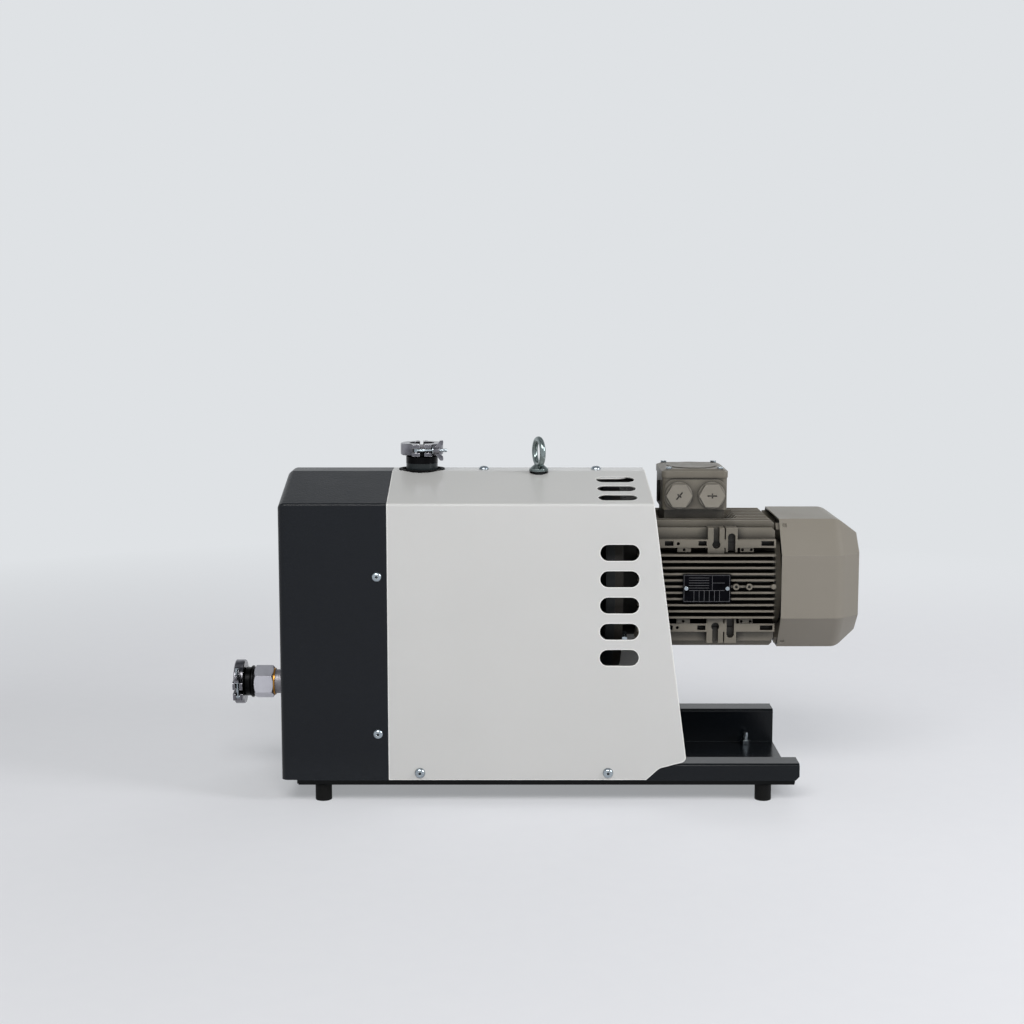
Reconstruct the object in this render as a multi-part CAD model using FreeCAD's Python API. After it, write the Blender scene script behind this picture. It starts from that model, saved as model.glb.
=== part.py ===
import FreeCAD, Part
import math
import os

# Claw vacuum pump under a two-piece hood, with a flange motor that stands out at the right.
# Millimetres, +X towards the motor's fan, +Z up, origin on the floor under the middle.
Vec = FreeCAD.Vector
along_x = Vec(1, 0, 0)
along_y = Vec(0, 1, 0)
along_z = Vec(0, 0, 1)

# Hoods
hood_width = 286.0
hood_sheet = 1.5
hood_bend = 4.0
skirt_z = 32.0
eave_z = 401.4
ridge_z = 431.8
ridge_width = 44.0
end_hood_length = 142.5
end_hood_edge_radius = 9.0
main_hood_eave_length = 348.8
main_hood_foot_length = 394.2
foot_corner_z = 52.5
skirt_notch_z = 43.0
skirt_notch_length = 33.0
skirt_end_length = 18.0
seam_gap = 0.6
slot_count = 5
slot_length = 51.4
slot_height = 21.5
slot_pitch = 34.95
slot_top_z = 337.0
slot_from_seam = 304.5
roof_slot_count = 3
roof_slot_pitch = 33.7
roof_slot_first = 23.4
roof_slot_from_seam = 302.5
hood_screw_head = 14.0
hood_screw = 6.0
hood_screw_grip = 8.0
hood_screw_play = 0.3
hood_screw_inset = 13.6
hood_screw_high_z = 305.2
hood_screw_low_z = 94.6
tray_screw_z = 41.5
tray_screw_left = 41.4
tray_screw_right = 290.9
roof_screw_left = 124.8
roof_screw_right = 279.2
frame_sheet = 2.0
frame_reach = 28.0
frame_web = 16.0
fit_gap = 0.2

# Tray, feet and pedestal
tray_left_length = 126.5
tray_right_length = 545.5
tray_sheet = 3.0
tray_floor_top = 19.0
tray_rail_width = 35.8
front_lip_z = 53.1
rear_lip_z = 67.4
rail_face_z = 30.6
rail_corner_cut = 5.0
foot_rail_z = 22.1
foot_rail_width = 26.0
foot_rail_sheet = 2.5
foot_rail_setback = 5.0
foot_diameter = 22.0
foot_stud = 8.0
foot_stud_length = 13.0
foot_edge = 0.8
foot_side_inset = 19.3
foot_left_inset = 37.7
foot_right_inset = 45.7
pedestal_plate = 12.0
pedestal_web = 12.0
pedestal_width = 150.0
pedestal_taper = 22.0
pedestal_left_reach = 34.0
pedestal_right_setback = 26.0
pedestal_bolt_inset = 12.0
tray_bolt = 8.0
tray_bolt_inset = 41.7
tray_bolt_from_wall = 15.5
tray_bolt_stickout = 17.0

# Pump: drive shaft on the motor's axis, idle shaft under it
motor_axis_z = 284.0
shaft_spacing = 110.0
rotor_tip_radius = 75.0
claw_tip_angle = 20.0
claw_rest_turn = 62.0
rotor_length = 60.0
rotor_gap = 0.15
rotor_end_gap = 0.2
rotor_hub_radius = 19.0
cylinder_wall = 14.0
cylinder_rib = 6.0
cylinder_rib_count = 5
cylinder_foot_drop = 89.0
inlet_from_seam = 39.5
end_plate = 24.0
bearing_wall = 26.0
gear_room = 64.0
gear_room_wall = 8.0
gear_room_gap = 4.0
gearbox_rim = 8.0
fitting_boss = 4.0
plug_boss_radius = 13.0
sight_boss_radius = 18.0
fill_plug_drop = 22.0
sight_glass_rise = 42.0
drain_plug_rise = 6.0
gearbox_cover_plate = 26.0
bell_length = 114.0
gear_teeth = 44
gear_width = 22.0
gear_backlash = 0.16
pressure_angle = 20.0
journal_radius = 12.5
journal_gap = 0.04
bearing_radius = 26.0
bearing_width = 16.0
seal_radius = 20.0
seal_width = 8.0
gasket_thickness = 0.8
casing_screw = 8.0
plug_across_flats = 17.0

# Drive between pump and motor
coupling_radius = 34.0
coupling_hub_length = 24.0
coupling_gap = 14.0
cooling_fan_radius = 66.0
cooling_fan_width = 12.0
cooling_fan_blades = 12
bell_wall = 7.0
bell_inner_radius = 74.0
bell_window_count = 6
bell_flange = 12.0

# Motor
motor_length = 335.0
motor_shaft_radius = 14.0
motor_shaft_length = 60.0
flange_radius = 125.0
flange_thickness = 11.0
flange_bolt_radius = 107.5
flange_bolt = 12.0
housing_left = 32.0
housing_right = 218.5
housing_radius = 74.0
stator_radius = 68.0
stator_bore = 45.0
air_gap = 0.5
motor_core_radius = 18.0
motor_bearing_radius = 31.0
motor_bearing_bore = 15.0
left_bearing = 6.0
right_bearing = 210.0
core_left = 62.0
core_right = 182.0
winding_reach = 22.0
winding_edge = 7.0
fan_seat_radius = 12.0
fin_thickness = 2.6
fin_pitch = 8.4
fin_count = 11
fin_reach = 95.5
top_fin_pitch = 16.25
top_fin_count = 9
top_fin_reach = 85.5
outer_fin_offset = 76.0
outer_fin_reach = 77.0
foot_pad_reach = 89.0
foot_pad_low = 51.5
foot_pad_high = 62.5
foot_block_top = 78.0
foot_pocket_depth = 15.0
foot_notch_from_flange = 137.0
foot_arch_from_flange = 157.3
cowl_left = 223.5
cowl_taper = 303.2
cowl_sheet = 2.0
cowl_bend = 20.0
cowl_end_edge = 6.0
cowl_clip_share = 0.82
cowl_clip = 5.0
cowl_clip_setback = 6.6
cowl_clip_gap = 0.3
cowl_rim = 3.0
cowl_half_width = 99.0
cowl_half_height = 87.5
cowl_side_half = 42.5
cowl_top_half = 65.0
cowl_end_half_width = 72.0
cowl_end_half_height = 66.0
cowl_end_top_half = 48.0
grille_ring_count = 4
grille_spokes = 8
motor_fan_radius = 82.0
motor_fan_blades = 7
plate_length = 64.0
plate_height = 38.5
plate_thickness = 1.0
plate_left = 92.0
plate_below_axis = 2.0

# Terminal box
box_left = 67.5
box_length = 87.5
box_depth = 104.0
box_bottom_z = 382.0
box_seam_z = 425.5
box_top_z = 437.0
box_wall = 4.0
box_corner = 6.0
box_post_radius = 6.0
lid_overhang = 1.0
lid_crown = 3.0
lid_border = 7.0
lid_oval_width = 68.0
lid_oval_depth = 80.0
lid_screw_inset = 9.0
lid_screw = 4.6
neck_length = 81.0
neck_depth = 84.0
gland_across_flats = 30.5
gland_spacing = 44.3
gland_z = 402.2
pad_top_z = 423.2
pad_margin = 2.0
pad_corner = 13.0
pad_proud = 4.0
plug_flange_radius = 18.2
plug_flange = 2.0
plug_head = 7.0

# Inlet, exhaust and lifting eye
inlet_pipe_radius = 21.6
inlet_bore_radius = 17.0
inlet_pipe_top_z = 440.8
inlet_ring_top_z = 451.2
inlet_clamp_height = 16.0
inlet_clamp_radius = 29.2
inlet_opening_radius = 29.5
inlet_flange_radius = 20.0
clamp_lip = 2.2
clamp_wall = 5.0
clamp_gap = 6.5
clamp_rear_gap = 4.5
clamp_lug = 10.5
clamp_lug_reach = 5.5
clamp_edge = 1.0
clamp_screw = 5.0
clamp_screw_out = 2.0
clamp_pin = 3.2
link_thickness = 4.0
wing_hub_radius = 5.6
wing_hub_length = 8.0
wing_reach = 14.0
wing_thickness = 3.0
washer_radius = 5.2
washer_thickness = 1.0
inlet_clamp_turn = 3.5
exhaust_clamp_turn = 12.0
exhaust_axis_z = 133.0
exhaust_reach = 80.0
exhaust_clamp_radius = 30.7
exhaust_clamp_width = 13.5
exhaust_cap_length = 13.5
exhaust_cap_radius = 20.0
exhaust_rim_radius = 22.2
exhaust_hex_flats = 40.0
exhaust_hex_length = 26.5
exhaust_nipple_radius = 16.6
exhaust_bore_radius = 12.5
exhaust_opening_radius = 22.0
sealing_ring_thickness = 2.0
eye_from_seam = 200.0
eye_offset_y = -27.0
eye_ring_radius = 17.5
eye_bar_radius = 4.0
eye_collar_radius = 13.0
eye_collar_height = 6.0
eye_top_z = 479.4
eye_turn = 17.0
eye_post_radius = 9.0
eye_post_step = 5.0
eye_shank_radius = 5.0
eye_shank_length = 16.0

# Places that follow from the sizes
flange_from_seam = (inlet_from_seam + rotor_length / 2 + bearing_wall + gear_room
                    + gearbox_cover_plate + bell_length)
overall_length = exhaust_reach + end_hood_length + flange_from_seam + motor_length
x_end_hood = exhaust_reach - overall_length / 2
x_seam = x_end_hood + end_hood_length
x_inlet = x_seam + inlet_from_seam
x_chamber_left = x_inlet - rotor_length / 2
x_chamber_right = x_inlet + rotor_length / 2
x_gear_room = x_chamber_right + bearing_wall
x_gearbox_cover = x_gear_room + gear_room
x_bell = x_gearbox_cover + gearbox_cover_plate
x_flange = x_bell + bell_length
x_motor_end = x_flange + motor_length
x_tray_left = x_seam - tray_left_length
x_tray_right = x_seam + tray_right_length
idle_axis_z = motor_axis_z - shaft_spacing
pitch_radius = shaft_spacing / 2
rotor_root_radius = shaft_spacing - rotor_tip_radius
hood_inner = hood_width / 2 - hood_sheet
hood_screw_hole = hood_screw / 2 + hood_screw_play
rail_face_y = hood_inner - fit_gap
pump_foot_z = idle_axis_z - cylinder_foot_drop
tray_wall_y = rail_face_y - tray_rail_width


def box(x0, x1, y0, y1, z0, z1):
    return Part.makeBox(x1 - x0, y1 - y0, z1 - z0, Vec(x0, y0, z0))


def rod_x(x0, x1, radius, y=0.0, z=0.0):
    return Part.makeCylinder(radius, x1 - x0, Vec(x0, y, z), along_x)


def rod_y(y0, y1, radius, x=0.0, z=0.0):
    return Part.makeCylinder(radius, y1 - y0, Vec(x, y0, z), along_y)


def rod_z(z0, z1, radius, x=0.0, y=0.0):
    return Part.makeCylinder(radius, z1 - z0, Vec(x, y, z0), along_z)


def ring_x(x0, x1, outer, inner, y=0.0, z=0.0):
    return rod_x(x0, x1, outer, y, z).cut(rod_x(x0 - 1, x1 + 1, inner, y, z))


def fuse_all(shapes):
    body = shapes[0].multiFuse(shapes[1:]) if len(shapes) > 1 else shapes[0]
    return body.removeSplitter()


def mirror_y(shape):
    return shape.mirror(Vec(0, 0, 0), along_y)


def both_sides(shape):
    return [shape, mirror_y(shape)]


def outline(points, radii=None):
    # closed outline of straight runs, each corner rounded by its own radius
    count = len(points)
    radii = radii or [0.0] * count
    starts, ends = [], []
    arcs = []
    for i, corner in enumerate(points):
        before, after = points[i - 1], points[(i + 1) % count]
        to_before = (before - corner).normalize()
        to_after = (after - corner).normalize()
        half = to_before.getAngle(to_after) / 2
        back = radii[i] / math.tan(half) if radii[i] else 0.0
        starts.append(corner + to_before * back)
        ends.append(corner + to_after * back)
        if radii[i]:
            middle = (to_before + to_after).normalize()
            mid = corner + middle * (radii[i] / math.sin(half) - radii[i])
            arcs.append(Part.Arc(starts[i], mid, ends[i]).toShape())
        else:
            arcs.append(None)
    edges = []
    for i in range(count):
        if arcs[i]:
            edges.append(arcs[i])
        edges.append(Part.LineSegment(ends[i], starts[(i + 1) % count]).toShape())
    return Part.Face(Part.Wire(edges))


def turned(profile, axis_point, axis):
    # full revolve of a closed outline
    return outline(profile).revolve(axis_point, axis, 360)


def turned_x(steps, y=0.0, z=0.0, bore=0.0):
    # stepped shaft or ring on an axis along X, from (x, radius) corners
    corners = [Vec(x, y, z + r) for x, r in steps]
    corners += [Vec(steps[-1][0], y, z + bore), Vec(steps[0][0], y, z + bore)]
    return turned(corners, Vec(0, y, z), along_x)


def hex_bar(base, direction, across_flats, length, turn=0.0):
    corner = across_flats / math.sqrt(3)
    points = [Vec(corner * math.cos(math.radians(60 * k + turn)),
                  corner * math.sin(math.radians(60 * k + turn)), 0) for k in range(6)]
    bar = outline(points).extrude(Vec(0, 0, length))
    bar.Placement = FreeCAD.Placement(base, FreeCAD.Rotation(along_z, direction))
    return bar


def button_screw(head_seat, direction, shank, grip):
    # low domed head on a plain shank that reaches back through what it holds
    head_radius = hood_screw_head / 2
    height = hood_screw_head * 0.3
    flat = head_radius * 0.35
    shoulder = Vec(head_radius * 0.78, 0, height * 0.72)
    arc = Part.Arc(Vec(head_radius, 0, 0), shoulder, Vec(flat, 0, height))
    edges = [arc.toShape(),
             Part.makeLine(Vec(flat, 0, height), Vec(0, 0, height)),
             Part.makeLine(Vec(0, 0, height), Vec(0, 0, -grip)),
             Part.makeLine(Vec(0, 0, -grip), Vec(shank / 2, 0, -grip)),
             Part.makeLine(Vec(shank / 2, 0, -grip), Vec(shank / 2, 0, 0)),
             Part.makeLine(Vec(shank / 2, 0, 0), Vec(head_radius, 0, 0))]
    screw = Part.Face(Part.Wire(edges)).revolve(Vec(0, 0, 0), along_z, 360)
    socket = hex_bar(Vec(0, 0, height * 0.4), along_z, shank * 0.62, height)
    screw = screw.cut(socket)
    screw.Placement = FreeCAD.Placement(head_seat, FreeCAD.Rotation(along_z, direction))
    return screw


def hex_bolt(seat, direction, size, grip, head=0.65):
    # hexagon head above the seat, plain shank below it
    bolt = hex_bar(seat, direction, size * 1.625, size * head)
    shank = Part.makeCylinder(size / 2, grip, seat, direction * -1)
    return bolt.fuse(shank).removeSplitter()


def hex_nut(seat, direction, size, thickness=0.8, clearance=0.1):
    nut = hex_bar(seat, direction, size * 1.625, size * thickness)
    bore = Part.makeCylinder(size / 2 + clearance, size * 3, seat - direction * size, direction)
    return nut.cut(bore)


def roof_slope():
    return (ridge_z - eave_z) / ((hood_width - ridge_width) / 2)


def roof_under_z(y):
    # underside of the sloping roof at a distance from the middle
    return ridge_z - (y - ridge_width / 2) * roof_slope() - hood_sheet - 1


def hood_face(inset, x, bottom):
    # the hood's cross-section, drawn inwards by inset, open side at the bottom
    half = hood_width / 2 - inset
    tilt = math.atan(roof_slope())
    eave = eave_z - inset / math.cos(tilt) + inset * roof_slope()
    ridge_half = ridge_width / 2 - inset * math.tan(tilt / 2)
    bend = max(hood_bend - inset, 0.8)
    soft = hood_bend * 2
    points = [Vec(x, -half, bottom), Vec(x, -half, eave), Vec(x, -ridge_half, ridge_z - inset),
              Vec(x, ridge_half, ridge_z - inset), Vec(x, half, eave), Vec(x, half, bottom)]
    return outline(points, [0, bend, soft, soft, bend, 0])


def stadium(center, width, height, depth):
    # slot-shaped cutter that goes through along Y
    radius = height / 2
    reach = width / 2 - radius
    x, y, z = center
    left = rod_y(y - depth / 2, y + depth / 2, radius, x - reach, z)
    right = rod_y(y - depth / 2, y + depth / 2, radius, x + reach, z)
    middle = box(x - reach, x + reach, y - depth / 2, y + depth / 2, z - radius, z + radius)
    return left.fuse([right, middle])


def side_screw_places():
    # x and z of the hood screws on the front and rear faces: at the seam, and along the tray
    x = x_seam - hood_screw_inset
    end_screws = [(x, hood_screw_high_z), (x, hood_screw_low_z)]
    tray_screws = [(x_seam + tray_screw_left, tray_screw_z), (x_seam + tray_screw_right, tray_screw_z)]
    return end_screws, tray_screws


def roof_screw_places():
    return [(x_seam + roof_screw_left, 0.0), (x_seam + roof_screw_right, 0.0)]


def end_hood():
    # dark end hood: drawn box with rounded end edges, open at the bottom and at the seam
    length = end_hood_length - seam_gap
    outer = hood_face(0, x_end_hood, skirt_z).extrude(Vec(length, 0, 0))
    end_edges = [e for e in outer.Edges
                 if abs(e.BoundBox.XMax - x_end_hood) < 0.01 and e.BoundBox.ZMax > skirt_z + 1]
    outer = outer.makeFillet(end_hood_edge_radius, end_edges)
    cavity = hood_face(hood_sheet, x_end_hood + hood_sheet, skirt_z - 10).extrude(Vec(length + 10, 0, 0))
    inner_edges = [e for e in cavity.Edges
                   if abs(e.BoundBox.XMax - x_end_hood - hood_sheet) < 0.01 and e.BoundBox.ZMax > skirt_z]
    cavity = cavity.makeFillet(end_hood_edge_radius - hood_sheet, inner_edges)
    hood = outer.cut(cavity)
    hood = hood.cut(rod_x(x_end_hood - 5, x_end_hood + 20, exhaust_opening_radius, 0, exhaust_axis_z))
    end_screws, _ = side_screw_places()
    for x, z in end_screws:
        hood = hood.cut(rod_y(-hood_width, hood_width, hood_screw_hole, x, z))
    return hood


def roof_slots(side):
    # slots on the sloping roof, as prisms square to the slope
    slots = []
    tilt = math.atan(roof_slope())
    for k in range(roof_slot_count):
        along = roof_slot_first + k * roof_slot_pitch
        y = -hood_width / 2 + along * math.cos(tilt)
        z = eave_z + along * math.sin(tilt)
        slot = stadium((0, 0, 0), slot_length, slot_height, 30)
        slot.Placement = FreeCAD.Placement(Vec(x_seam + roof_slot_from_seam, y, z),
                                           FreeCAD.Rotation(along_x, math.degrees(tilt) - 90))
        slots.append(slot if side < 0 else mirror_y(slot))
    return slots


def main_hood():
    # light hood: bent over the pump, slanting free edge round the motor, notched skirt
    body = hood_face(0, x_seam, skirt_z).extrude(Vec(main_hood_foot_length + 20, 0, 0))
    cavity = hood_face(hood_sheet, x_seam - 5, skirt_z - 10).extrude(Vec(main_hood_foot_length + 50, 0, 0))
    body = body.cut(cavity)
    slant = (main_hood_foot_length - main_hood_eave_length) / (eave_z - foot_corner_z)
    x_ridge = x_seam + main_hood_eave_length - slant * (ridge_z + 10 - eave_z)
    x_foot = x_seam + main_hood_foot_length
    notch = x_foot - skirt_notch_length
    low = notch - skirt_end_length
    trim = outline([Vec(x_ridge, 0, ridge_z + 10), Vec(x_foot, 0, foot_corner_z),
                    Vec(x_foot - 4, 0, foot_corner_z - 4.5), Vec(notch, 0, skirt_notch_z),
                    Vec(low, 0, skirt_z - 5), Vec(x_foot + 60, 0, skirt_z - 5),
                    Vec(x_foot + 60, 0, ridge_z + 10)],
                   [0, 5, 5, 12, 0, 0, 0])
    trim = trim.extrude(Vec(0, hood_width + 20, 0))
    trim.translate(Vec(0, -hood_width / 2 - 10, 0))
    body = body.cut(trim)
    cutters = []
    x_slots = x_seam + slot_from_seam
    for k in range(slot_count):
        z = slot_top_z - k * slot_pitch
        cutters.append(stadium((x_slots, 0, z), slot_length, slot_height, hood_width + 20))
    cutters += roof_slots(-1) + roof_slots(1)
    cutters.append(rod_z(ridge_z - 40, ridge_z + 10, inlet_opening_radius, x_inlet))
    x_post = x_seam + eye_from_seam
    cutters.append(rod_z(ridge_z - 40, ridge_z + 10, eye_post_radius + 2, x_post, eye_offset_y))
    _, tray_screws = side_screw_places()
    for x, z in tray_screws:
        cutters.append(rod_y(-hood_width, hood_width, hood_screw_hole, x, z))
    for x, y in roof_screw_places():
        cutters.append(rod_z(ridge_z - 10, ridge_z + 10, hood_screw_hole, x, y))
    return body.cut(cutters)


def hood_frame():
    # hoop inside the seam that carries both hoods, with an inward web, standing on the tray's rails
    gap = hood_sheet + fit_gap
    outer = hood_face(gap, x_seam - frame_reach, rear_lip_z).extrude(Vec(2 * frame_reach, 0, 0))
    inner = hood_face(gap + frame_sheet, x_seam - frame_reach - 1, rear_lip_z - 5)
    hoop = outer.cut(inner.extrude(Vec(2 * frame_reach + 2, 0, 0)))
    web = hood_face(gap + frame_sheet / 2, x_seam - frame_sheet / 2, rear_lip_z)
    web = web.extrude(Vec(frame_sheet, 0, 0))
    web = web.cut(hood_face(gap + frame_web, x_seam - 10, rear_lip_z - 5).extrude(Vec(20, 0, 0)))
    leg_low = box(x_seam - frame_reach, x_seam + frame_reach, -rail_face_y, -rail_face_y + frame_sheet,
                  front_lip_z, rear_lip_z + 1)
    feet = [box(x_seam - frame_reach, x_seam + frame_reach, -rail_face_y, -rail_face_y + 24,
                front_lip_z, front_lip_z + frame_sheet),
            box(x_seam - frame_reach, x_seam + frame_reach, rail_face_y - 24, rail_face_y,
                rear_lip_z, rear_lip_z + frame_sheet)]
    frame = fuse_all([hoop, web, leg_low] + feet)
    end_screws, _ = side_screw_places()
    for x, z in end_screws:
        frame = frame.cut(rod_y(-hood_width, hood_width, hood_screw / 2 + 0.05, x, z))
    opening = inlet_opening_radius + 2
    return frame.cut(rod_z(ridge_z - 60, ridge_z + 10, opening, x_inlet))


def hood_screws():
    screws = []
    end_screws, tray_screws = side_screw_places()
    for x, z in end_screws + tray_screws:
        for side in (-1, 1):
            seat = Vec(x, side * hood_width / 2, z)
            screws.append(button_screw(seat, Vec(0, side, 0), hood_screw, hood_screw_grip))
    for x, y in roof_screw_places():
        screws.append(button_screw(Vec(x, y, ridge_z), along_z, hood_screw, hood_screw_grip))
    return Part.makeCompound(screws)


def inlet_edging():
    # rubber channel round the hood's inlet hole
    groove = inlet_opening_radius
    inner = groove - 2.5
    outer = groove + 2.0
    profile = [Vec(x_inlet + inner, 0, ridge_z + 1.4), Vec(x_inlet + outer, 0, ridge_z + 1.4),
               Vec(x_inlet + outer, 0, ridge_z + 0.1), Vec(x_inlet + groove - 0.1, 0, ridge_z + 0.1),
               Vec(x_inlet + groove - 0.1, 0, ridge_z - hood_sheet - 2.6),
               Vec(x_inlet + inner, 0, ridge_z - hood_sheet - 2.6)]
    return turned(profile, Vec(x_inlet, 0, 0), along_z)


def rail_profile(lip_z):
    # one side of the tray in section: wall, lip and outer face, at negative Y
    wall = -tray_wall_y
    t = tray_sheet
    return [Vec(0, wall, tray_floor_top - t), Vec(0, wall, lip_z - t), Vec(0, -rail_face_y + t, lip_z - t),
            Vec(0, -rail_face_y + t, rail_face_z), Vec(0, -rail_face_y, rail_face_z),
            Vec(0, -rail_face_y, lip_z),
            Vec(0, wall + t, lip_z), Vec(0, wall + t, tray_floor_top - t)]


def base_tray():
    # pressed tray: flat floor between two hat rails, the rear one higher
    length = x_tray_right - x_tray_left
    floor = box(x_tray_left, x_tray_right, -tray_wall_y, tray_wall_y,
                tray_floor_top - tray_sheet, tray_floor_top)
    rails = []
    for side, lip in ((-1, front_lip_z), (1, rear_lip_z)):
        radii = [0, 1.0, 1.0, 0, 0, 4.0, 4.0, 0]
        rail = outline(rail_profile(lip), radii).extrude(Vec(length, 0, 0))
        rail.translate(Vec(x_tray_left, 0, 0))
        rails.append(rail if side < 0 else mirror_y(rail))
    tray = fuse_all([floor] + rails)
    cut = rail_corner_cut
    for x, lean in ((x_tray_right, -1), (x_tray_left, 1)):
        corner = outline([Vec(x, 0, rail_face_z - 1), Vec(x + lean * (cut + 1), 0, rail_face_z - 1),
                          Vec(x, 0, rail_face_z + cut)])
        for side in (-1, 1):
            wedge = corner.extrude(Vec(0, side * 8, 0))
            wedge.translate(Vec(0, side * (rail_face_y - 6), 0))
            tray = tray.cut(wedge)
    _, tray_screws = side_screw_places()
    for x, z in tray_screws:
        for side in (-1, 1):
            y = side * rail_face_y
            tray = tray.cut(rod_y(y - 6, y + 6, hood_screw / 2 + 0.05, x, z))
    for x, y in tray_bolt_places() + pedestal_bolt_places():
        tray = tray.cut(rod_z(tray_floor_top - 10, tray_floor_top + 5, tray_bolt / 2 + 0.2, x, y))
    return tray


def foot_places():
    y = rail_face_y - foot_side_inset
    xs = (x_tray_left + foot_left_inset, x_tray_right - foot_right_inset)
    return [(x, side * y) for x in xs for side in (-1, 1)]


def tray_bolt_places():
    x = x_tray_right - tray_bolt_inset
    y = tray_wall_y - tray_bolt_from_wall
    return [(x, -y), (x, y)]


def pedestal_bolt_places():
    y = pedestal_width / 2 - pedestal_bolt_inset
    xs = (x_chamber_left - pedestal_left_reach + 14, x_bell - pedestal_right_setback - 14)
    return [(x, side * y) for x in xs for side in (-1, 1)]


def foot_rails():
    # channel under each rail that spreads the load between the feet
    rails = []
    t = foot_rail_sheet
    outer = -tray_wall_y - foot_rail_width
    for side, lip in ((-1, front_lip_z), (1, rear_lip_z)):
        top = lip - tray_sheet
        web = box(x_tray_left + foot_rail_setback, x_tray_right - foot_rail_setback,
                  outer, -tray_wall_y, foot_rail_z, foot_rail_z + t)
        flange = box(x_tray_left + foot_rail_setback, x_tray_right - foot_rail_setback,
                     outer, outer + t, foot_rail_z, top)
        inner = box(x_tray_left + foot_rail_setback, x_tray_right - foot_rail_setback,
                    -tray_wall_y - t, -tray_wall_y, foot_rail_z, foot_rail_z + 14)
        rail = fuse_all([web, flange, inner])
        if side > 0:
            rail = mirror_y(rail)
        for x, y in foot_places():
            if y * side > 0:
                rail = rail.cut(rod_z(foot_rail_z - 5, foot_rail_z + 8, foot_stud / 2 + 0.3, x, y))
        rails.append(rail)
    return Part.makeCompound(rails)


def rubber_feet():
    # plain buffers with a stud on top
    feet = []
    radius = foot_diameter / 2
    for x, y in foot_places():
        buffer = rod_z(0, foot_rail_z, radius, x, y)
        buffer = buffer.makeFillet(foot_edge, buffer.Edges[:1] + buffer.Edges[2:])
        stud = rod_z(foot_rail_z - 1, foot_rail_z + foot_stud_length, foot_stud / 2, x, y)
        feet.append(buffer.fuse(stud).removeSplitter())
    return Part.makeCompound(feet)


def foot_nuts():
    seat = foot_rail_z + foot_rail_sheet
    return Part.makeCompound([hex_nut(Vec(x, y, seat), along_z, foot_stud) for x, y in foot_places()])


def tray_bolts():
    # fixing bolts at the motor end, and the bolts that hold the pedestal, all from below
    bolts = []
    under = tray_floor_top - tray_sheet
    down = Vec(0, 0, -1)
    for x, y in tray_bolt_places():
        bolts.append(hex_bolt(Vec(x, y, under), down, tray_bolt, tray_sheet + tray_bolt_stickout))
        bolts.append(hex_nut(Vec(x, y, tray_floor_top), along_z, tray_bolt))
    for x, y in pedestal_bolt_places():
        bolts.append(hex_bolt(Vec(x, y, under), down, tray_bolt, tray_sheet + pedestal_plate + 8))
        bolts.append(hex_nut(Vec(x, y, tray_floor_top + pedestal_plate), along_z, tray_bolt))
    return Part.makeCompound(bolts)


def pump_pedestal():
    # cast stand under the pump: foot plate, two cross webs and a spine between them
    x0, x1 = x_chamber_left - pedestal_left_reach, x_bell - pedestal_right_setback
    half = pedestal_width / 2
    plate = box(x0, x1, -half, half, tray_floor_top, tray_floor_top + pedestal_plate)
    top_half = half - pedestal_taper
    upright = [Vec(0, -half, tray_floor_top), Vec(0, -top_half, pump_foot_z), Vec(0, top_half, pump_foot_z),
               Vec(0, half, tray_floor_top)]
    webs = []
    for x in (x_chamber_left - 8, x_gear_room + 8):
        web = outline(upright).extrude(Vec(pedestal_web, 0, 0))
        web.translate(Vec(x, 0, 0))
        webs.append(web)
    spine = box(x0 + 14, x1 - 14, -pedestal_web / 2, pedestal_web / 2,
                tray_floor_top + 1, pump_foot_z - 14)
    stand = fuse_all([plate, spine] + webs)
    for x, y in pedestal_bolt_places():
        hole = rod_z(tray_floor_top - 5, tray_floor_top + pedestal_plate + 5, tray_bolt / 2 + 0.2, x, y)
        stand = stand.cut(hole)
    return stand


def stadium_x(x0, x1, radius):
    # block round both shafts: two round ends joined by flat sides
    upper = rod_x(x0, x1, radius, 0, motor_axis_z)
    lower = rod_x(x0, x1, radius, 0, idle_axis_z)
    return upper.fuse([lower, box(x0, x1, -radius, radius, idle_axis_z, motor_axis_z)]).removeSplitter()


def casing_screw_places(radius):
    lean = math.radians(60)
    upper = [(side * radius * math.sin(lean), motor_axis_z + radius * math.cos(lean)) for side in (-1, 1)]
    lower = [(side * radius * math.sin(lean), idle_axis_z - radius * math.cos(lean)) for side in (-1, 1)]
    middle = [(side * radius, (motor_axis_z + idle_axis_z) / 2) for side in (-1, 1)]
    return upper + middle + lower


def pump_foot(x0, x1, top_radius):
    # flat foot under a casing, down to the pedestal
    half = pedestal_width / 2 - pedestal_taper
    return box(x0, x1, -half, half, pump_foot_z, idle_axis_z - top_radius * 0.6)


def screw_holes(body, radius, x0, x1, hole=None):
    hole = hole or casing_screw / 2 + 0.2
    return body.cut([rod_x(x0, x1, hole, y, z) for y, z in casing_screw_places(radius)])


def exhaust_port():
    # outlet port in the end plate, beside the pinch of the two chambers
    return (rotor_tip_radius * 0.5, (motor_axis_z + idle_axis_z) / 2)


def cylinder_cover():
    # end plate that closes the chamber and carries the left bearings
    x1 = x_chamber_left
    x0 = x1 - end_plate
    body = stadium_x(x0, x1, rotor_tip_radius + cylinder_wall)
    cutters = []
    for z in (motor_axis_z, idle_axis_z):
        cutters.append(rod_x(x0 - 1, x1 - seal_width, bearing_radius + fit_gap / 10, 0, z))
        cutters.append(rod_x(x0 - 1, x1 + 1, seal_radius + fit_gap / 10, 0, z))
    y, z = exhaust_port()
    cutters.append(rod_x(x0 - 1, x1 + 1, exhaust_bore_radius, y, z))
    body = body.cut(cutters)
    return screw_holes(body, rotor_tip_radius + cylinder_wall / 2, x0 - 1, x1 + 1)


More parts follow.
